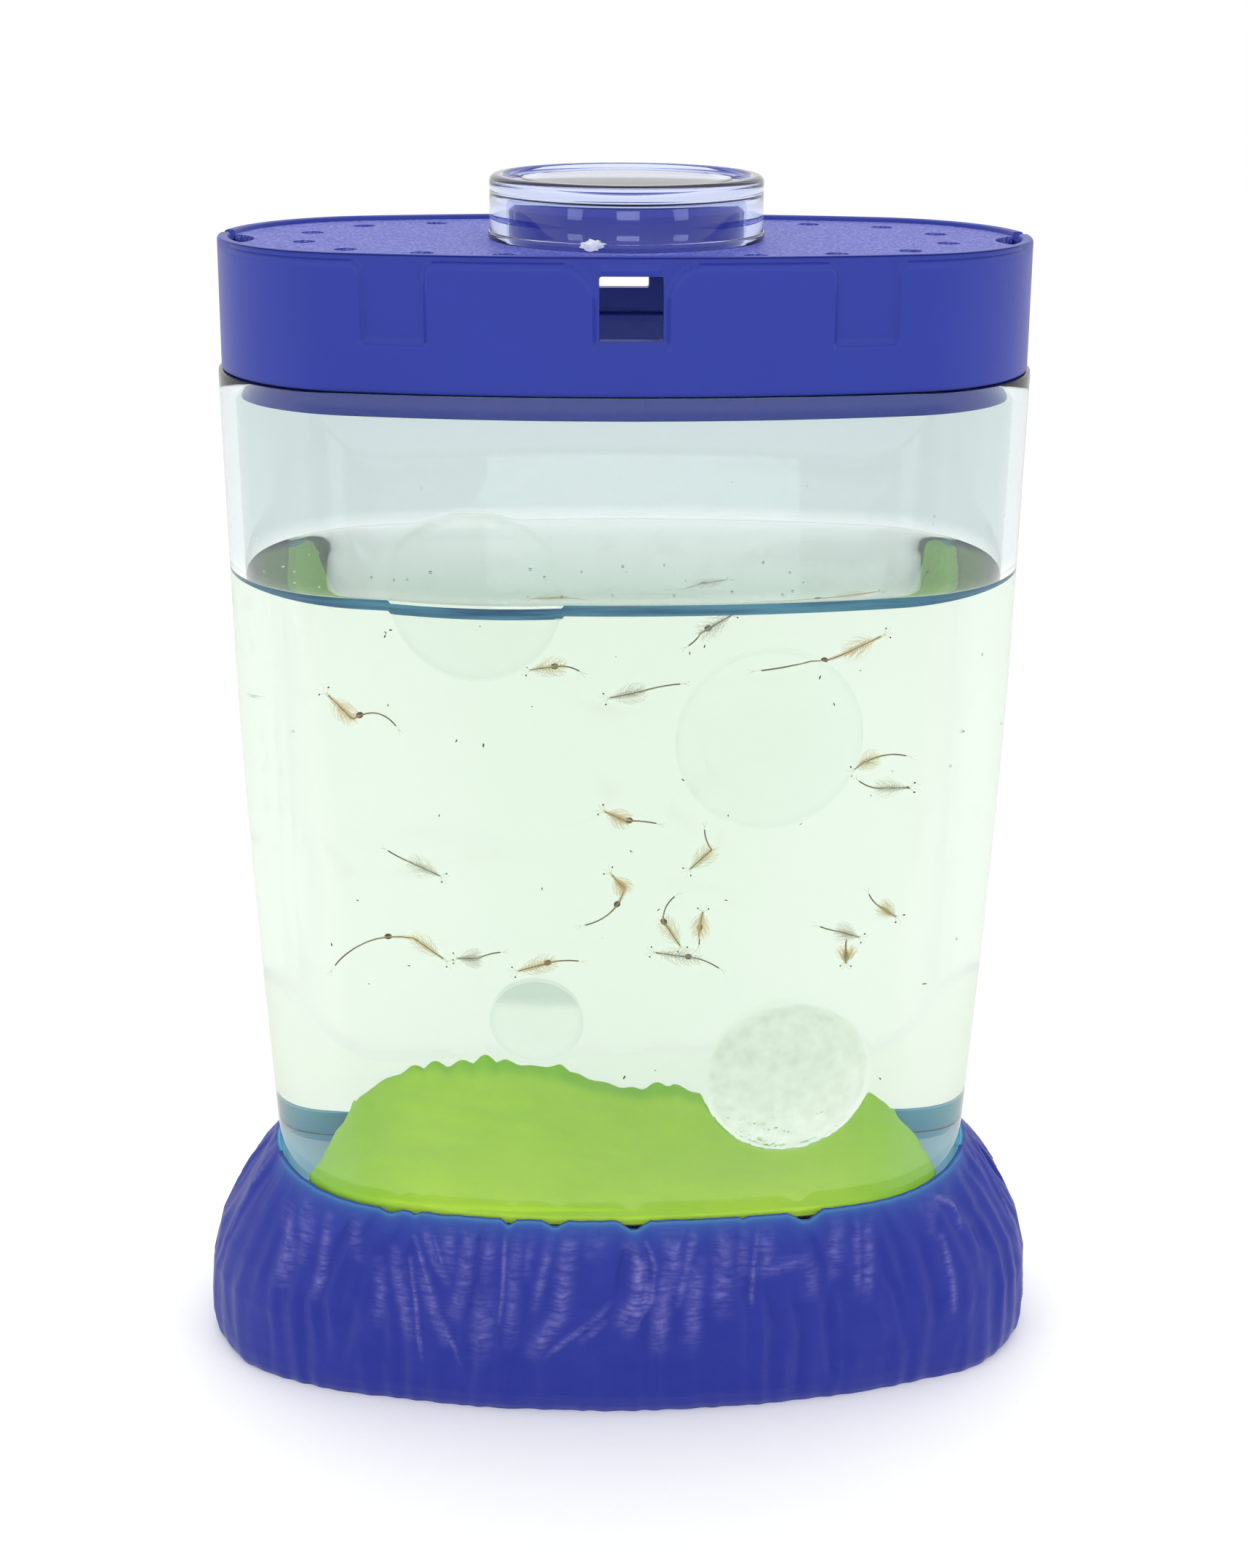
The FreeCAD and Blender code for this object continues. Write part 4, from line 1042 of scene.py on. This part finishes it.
def box_distance(x, z, half, low, high):
    """Distance to an upright strip, negative inside."""
    side = np.abs(x) - half
    level = np.maximum(low - z, z - high)
    return np.hypot(np.maximum(side, 0), np.maximum(level, 0)) + np.minimum(np.maximum(side, level), 0)


def ring_recess(x, z):
    """How deep the skirt lies under its panels at each point of a long side."""
    band = RING_TOP - PANEL_TOP_GAP - z
    above = RING_TOP + 5
    sill = RING_FOOT + WINDOW_SILL
    gap = rounded_union(band, box_distance(x, z, WINDOW_HALF + 0.6, sill - 0.5, above), SHOULDER_LARGE)
    for side in (-1, 1):
        pocket = box_distance(x - side * POCKET_CENTRE, z, POCKET_HALF, RING_TOP - POCKET_HEIGHT, above)
        gap = rounded_union(gap, pocket, SHOULDER_SMALL)
    share = np.clip(0.5 - gap / PANEL_SLOPE, 0, 1)
    return PANEL_RELIEF * share * share * (3 - 2 * share)


def ring_section():
    """The ring's section, from its outer foot round by the rim and the plug, as inset and height."""
    outer = [(0.5 + 0.3 * k / SKIRT_ROWS,
              RING_FOOT + 0.25 + (RING_TOP - 0.7 - RING_FOOT) * k / SKIRT_ROWS)
             for k in range(SKIRT_ROWS + 1)]
    rim = [(0.8 + RIM_ROUND * (1 - math.cos(a)), RING_TOP - RIM_ROUND + RIM_ROUND * math.sin(a))
           for a in np.radians([20, 40, 60, 80, 90])]
    inside = [(1.9, RING_TOP), (2.1, RING_TOP - 0.1), (2.2, RING_TOP - 0.3), (2.2, LEDGE), (3.0, LEDGE),
              (3.0, 152.0), (3.0, PLUG_TOP), (3.8, PLUG_TOP), (4.0, 146.5), (4.0, 140.7), (3.85, 140.45),
              (3.7, PLUG_LOW), (2.8, PLUG_LOW), (2.6, 140.5), (2.5, 140.7), (2.5, RING_FOOT),
              (0.7, RING_FOOT), (0.55, RING_FOOT + 0.08)]
    return outer + rim + inside


def ring_body():
    """The ring's section swept round the tub's outline, with the pockets and panels on its outer face."""
    rings = []
    for inset, z in ring_section():
        ring, outward = tub_oval(inset, RING_COLUMNS)
        x, y = ring.T
        height = np.full(RING_COLUMNS, z)
        if inset < 1.0 and z > RING_FOOT + 0.2:
            on_side = np.clip((np.abs(outward[:, 1]) - 0.25) / 0.2, 0, 1)
            move = -ring_recess(x, height) * on_side
            # A flat strip stands out over the front window
            strip = (np.abs(x + 0.2) < 3.5) & (abs(z - RING_TOP + 1.6) < 0.42) & (y < 0)
            move += np.where(strip, 0.2, 0)
            ring = ring + outward * move[:, None]
        if z > RING_TOP - 1.2:
            # Where the two halves of the rim meet at each end there is a small break
            lowered = 0.9 * (np.abs(y - 1.8) < 1.3) * (np.abs(x) > TUB_END_RADIUS)
            height = height - lowered * np.clip((z - RING_TOP + 1.2) / 1.2, 0, 1)
        rings.append(level_ring(ring, height))
    return ring_mesh("lid_skirt", rings, joined=True)


def cut_windows(mesh):
    """Cuts the square window through both long faces."""
    low, high = RING_FOOT + WINDOW_SILL, RING_FOOT + WINDOW_SILL + WINDOW_HEIGHT
    cutter = bpy.data.meshes.new("window_cutter")
    work = bmesh.new()
    corners = [(-WINDOW_HALF, low), (WINDOW_HALF, low), (WINDOW_HALF, high), (-WINDOW_HALF, high)]
    face = work.faces.new([work.verts.new((x * MM, -40 * MM, z * MM)) for x, z in corners])
    moved = bmesh.ops.extrude_face_region(work, geom=[face])
    far = [v for v in moved["geom"] if isinstance(v, bmesh.types.BMVert)]
    bmesh.ops.translate(work, vec=(0, 80 * MM, 0), verts=far)
    upright = [e for e in work.edges if abs(e.verts[0].co.y - e.verts[1].co.y) > 0.01]
    bmesh.ops.bevel(work, geom=upright, offset=WINDOW_ROUND * MM, segments=3, profile=0.5, affect="EDGES")
    bmesh.ops.recalc_face_normals(work, faces=work.faces)
    work.to_mesh(cutter)
    work.free()
    carrier = put("ring_carrier", mesh)
    tool = put("window_tool", cutter)
    modifier = carrier.modifiers.new("windows", "BOOLEAN")
    modifier.operation = "DIFFERENCE"
    modifier.object = tool
    modifier.solver = "EXACT"
    result = bpy.data.meshes.new_from_object(carrier.evaluated_get(bpy.context.evaluated_depsgraph_get()))
    bpy.data.objects.remove(carrier)
    bpy.data.objects.remove(tool)
    result.name = "lid_ring_skirt"
    return result


lid_blue = blue_polypropylene()
skirt_mesh = cut_windows(ring_body())
soften(skirt_mesh, 35)
place(skirt_mesh, "lid", lid_blue, "blue_gloss", "lid_ring")

# Lid plate: a blue plate let into the ring, with sixteen air holes, a bite at each end and the raised collar
# for the cap. Its top is spark-eroded and grainy, with painted glints. The CAD solid has the real shape and
# stays.
PLATE_TOP = 159.6


def sparkle_polypropylene():
    """Blue polypropylene off a spark-eroded mould: matt and grainy, with painted pale glints."""
    material, tree, shader = new_material("spark_textured_polypropylene", Roughness=0.5, IOR=1.49)
    place_at = add(tree, "ShaderNodeTexCoord").outputs["Object"]
    # Grains about 0.4 mm across, with painted pale glints. The collar above the plate, from a polished
    # insert, has none
    up = add(tree, "ShaderNodeSeparateXYZ", None, {0: place_at}).outputs["Z"]
    eroded = add(tree, "ShaderNodeMath", {"operation": "LESS_THAN"}, {0: up, 1: PLATE_TOP * MM})
    grain = add(tree, "ShaderNodeTexNoise", None,
                {"Vector": place_at, "Scale": 1 / (0.4 * MM), "Detail": 3.0})
    painted_glints = add(tree, "ShaderNodeMapRange", None, {"Value": grain, "From Min": 0.42, "From Max": 0.7})
    blue_with_glints = add(tree, "ShaderNodeMix", {"data_type": "RGBA"},
                     {"Factor": painted_glints, 6: linear("#363FA2"), 7: linear("#777CCC")}).outputs[2]
    colour = add(tree, "ShaderNodeMix", {"data_type": "RGBA"},
                 {"Factor": eroded, 6: linear("#1A2688"), 7: blue_with_glints}).outputs[2]
    depth = add(tree, "ShaderNodeMath", {"operation": "MULTIPLY"}, {0: grain, 1: eroded})
    bump = add(tree, "ShaderNodeBump", None, {"Height": depth, "Strength": 0.9, "Distance": 0.12 * MM})
    fill(shader, {"Base Color": colour, "Normal": bump})
    return material


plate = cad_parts["lid_plate"]
plate.data.materials.clear()
plate.data.materials.append(sparkle_polypropylene())

# Magnifier cap: a clear round polystyrene cap pushed over the collar, turned from one section: a thick wall
# with a beaded foot, a raised outer ring, a step and a shallow lens. Its moulding gate left a rough nub.
CAP_LOW = 159.45
CAP_TOP = 167.25
CAP_RADIUS = 17.3
CAP_BORE = 15.1
CAP_ROOF = 164.95
CAP_EDGE_ROUND = 0.9
CAP_COLUMNS = 192
LENS_FOOT = 166.85
LENS_RADIUS = 11.8
LENS_RISE = 0.35


def cap_mesh():
    """The cap turned from its section: out under the roof, down the bore, up the wall and in to the lens."""
    section = [(0.4, CAP_ROOF), (6.0, CAP_ROOF), (12.0, CAP_ROOF), (14.6, 164.93), (15.0, 164.8),
               (CAP_BORE, 164.5), (CAP_BORE, 162.0), (CAP_BORE, 159.6), (15.2, CAP_LOW),
               (CAP_RADIUS, CAP_LOW), (17.46, 159.5), (17.5, 159.62), (17.5, 160.3), (17.45, 160.42),
               (17.32, 160.5), (CAP_RADIUS, 160.8), (CAP_RADIUS, 163.5), (17.28, 165.6)]
    section += [(CAP_RADIUS - CAP_EDGE_ROUND * (1 - math.cos(a)),
                 CAP_TOP - CAP_EDGE_ROUND * (1 - math.sin(a)))
                for a in np.radians([10, 25, 40, 55, 70, 85])]
    section += [(16.0, CAP_TOP), (15.7, 167.2), (15.5, 167.05), (15.4, 166.8), (15.3, 166.68), (15.1, 166.65),
                (13.4, 166.65), (13.25, 166.7), (13.15, 166.82), (13.0, LENS_FOOT), (11.9, LENS_FOOT)]
    ball = (LENS_RADIUS ** 2 + LENS_RISE ** 2) / (2 * LENS_RISE)
    section += [(r, LENS_FOOT + LENS_RISE - ball + math.sqrt(ball ** 2 - r ** 2))
                for r in (11.6, 10, 8, 6, 4, 2, 0.4)]
    angle = np.arange(CAP_COLUMNS) / CAP_COLUMNS * 2 * math.pi
    circle = np.column_stack([np.cos(angle), np.sin(angle)])
    mesh = ring_mesh("magnifier_cap_clear", [level_ring(r * circle, z) for r, z in section])
    soften(mesh, 50)
    return mesh


# The cap's blue tint is a painted reflection of the blue collar and plate under it
cap_with_painted_blue, _, _ = clear_polystyrene("crystal_polystyrene_cap", 0.02, "#D3DBF8", 1.45)
cap = place(cap_mesh(), "cap", cap_with_painted_blue, "clear_cap", "magnifier_cap")
cap.visible_shadow = False

NUB_AT = (-4.5, -16.9, 160.35)
NUB_SIZE = (1.3, 0.45, 0.6)


def nub_mesh():
    """The rough stub where the gate was snapped off the cap's foot."""
    mesh = bpy.data.meshes.new("cap_gate_nub")
    work = bmesh.new()
    bmesh.ops.create_icosphere(work, subdivisions=3, radius=1.0)
    for vert in work.verts:
        rough = 1 + 0.7 * noise.noise(vert.co * 2.2)
        vert.co = vert.co * Vector(NUB_SIZE) * rough * MM + Vector(NUB_AT) * MM
    work.to_mesh(mesh)
    work.free()
    mesh.shade_smooth()
    return mesh


rough_clear, _, snapped = clear_polystyrene("snapped_polystyrene", 0.6, "#F0F2F8", 1.5)
fill(snapped, {"Transmission Weight": 0.45})
nub = place(nub_mesh(), "cap", rough_clear, "clear_cap")
nub.visible_shadow = False

# Floor, light and camera: a floor of white card, a bright even studio all round it, and the photograph's
# own viewpoint.
FLOOR_SIZE = 40.0
TANK_MIDDLE = (0, 0, 0.05)


def floor_card():
    """Matt white card: no gloss, nearly white."""
    material, tree, shader = new_material("white_card", Roughness=0.9, IOR=1.4, Specular_IOR_Level=0.1)
    place_at = add(tree, "ShaderNodeTexCoord").outputs["Object"]
    fill(shader, {"Base Color": mottled(tree, place_at, 10 / 9, 2.0, linear("#FCFCFC"),
                                        linear("#FFFFFF"))[0]})
    return material


floor_mesh = bpy.data.meshes.new("floor")
floor_mesh.from_pydata([(x * FLOOR_SIZE / 2, y * FLOOR_SIZE / 2, 0)
                        for x, y in ((-1, -1), (1, -1), (1, 1), (-1, 1))], [], [(0, 1, 2, 3)])
floor_mesh.materials.append(floor_card())
floor = put("floor", floor_mesh)
floor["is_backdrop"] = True
floor.visible_glossy = False

world = bpy.data.worlds.new("studio")
bpy.context.scene.world = world
world.use_nodes = True
sky = world.node_tree
toward = add(sky, "ShaderNodeTexCoord").outputs["Generated"]
toward = add(sky, "ShaderNodeSeparateXYZ", None, {0: toward}).outputs
# The studio is white all round, but for the dark room low down in front, where the photographer stands
low = add(sky, "ShaderNodeMapRange", {"interpolation_type": "SMOOTHSTEP"},
          {"Value": toward["Z"], "From Min": -0.02, "From Max": -0.14})
front = add(sky, "ShaderNodeMapRange", {"interpolation_type": "SMOOTHSTEP"},
            {"Value": toward["Y"], "From Min": -0.35, "From Max": -0.7})
dark = add(sky, "ShaderNodeMath", {"operation": "MULTIPLY"}, {0: low, 1: front})
white = add(sky, "ShaderNodeMapRange", None, {"Value": dark, "To Min": 1.02, "To Max": 0.15})
fill(sky.nodes["Background"], {"Color": (1, 1, 1, 1), "Strength": white})


def soft_box(name, at, look, width, height, watts):
    """A rectangular area light that faces a point."""
    light = bpy.data.lights.new(name, "AREA")
    light.shape = "RECTANGLE"
    light.size, light.size_y, light.energy = width, height, watts
    lamp = put(name, light)
    lamp.location = at
    lamp.rotation_euler = (Vector(look) - Vector(at)).to_track_quat("-Z", "Y").to_euler()
    lamp.visible_glossy = False


soft_box("top_box", (0.0, 0.15, 0.75), (0, 0.1, 0.0), 0.6, 0.5, 1.1)
soft_box("front_box", (0.0, -0.95, 0.36), TANK_MIDDLE, 0.34, 0.2, 1.3)
soft_box("left_box", (-0.75, -0.65, 0.36), TANK_MIDDLE, 0.25, 0.25, 0.9)
soft_box("right_box", (0.75, -0.65, 0.36), TANK_MIDDLE, 0.25, 0.25, 0.9)

# The photograph's width, its focal length and the shift of its middle, in pixels
PHOTO_WIDTH = 1716
FOCAL_PIXELS = 2989.2
MIDDLE_SHIFT = 1.3
CAMERA_AT = (-0.00791, -0.28249, 0.19143)
# How far the camera is turned aside, tipped down and rolled, in radians
CAMERA_TURN = -0.028
CAMERA_TIP = 0.3592
CAMERA_ROLL = 0.006
camera_data = bpy.data.cameras.new("photo_camera")
camera_data.sensor_fit = "HORIZONTAL"
camera_data.sensor_width = 36.0
camera_data.lens = FOCAL_PIXELS * camera_data.sensor_width / PHOTO_WIDTH
camera_data.shift_x = MIDDLE_SHIFT / PHOTO_WIDTH
camera_data.clip_start = 0.01
camera = put("photo_camera", camera_data)
camera.matrix_world = (Matrix.Translation(CAMERA_AT) @ Matrix.Rotation(CAMERA_TURN, 4, "Z")
                       @ Matrix.Rotation(math.pi / 2 - CAMERA_TIP, 4, "X")
                       @ Matrix.Rotation(CAMERA_ROLL, 4, "Z"))
bpy.context.scene.camera = camera
bpy.context.scene.view_settings.view_transform = "Standard"

low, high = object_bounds()
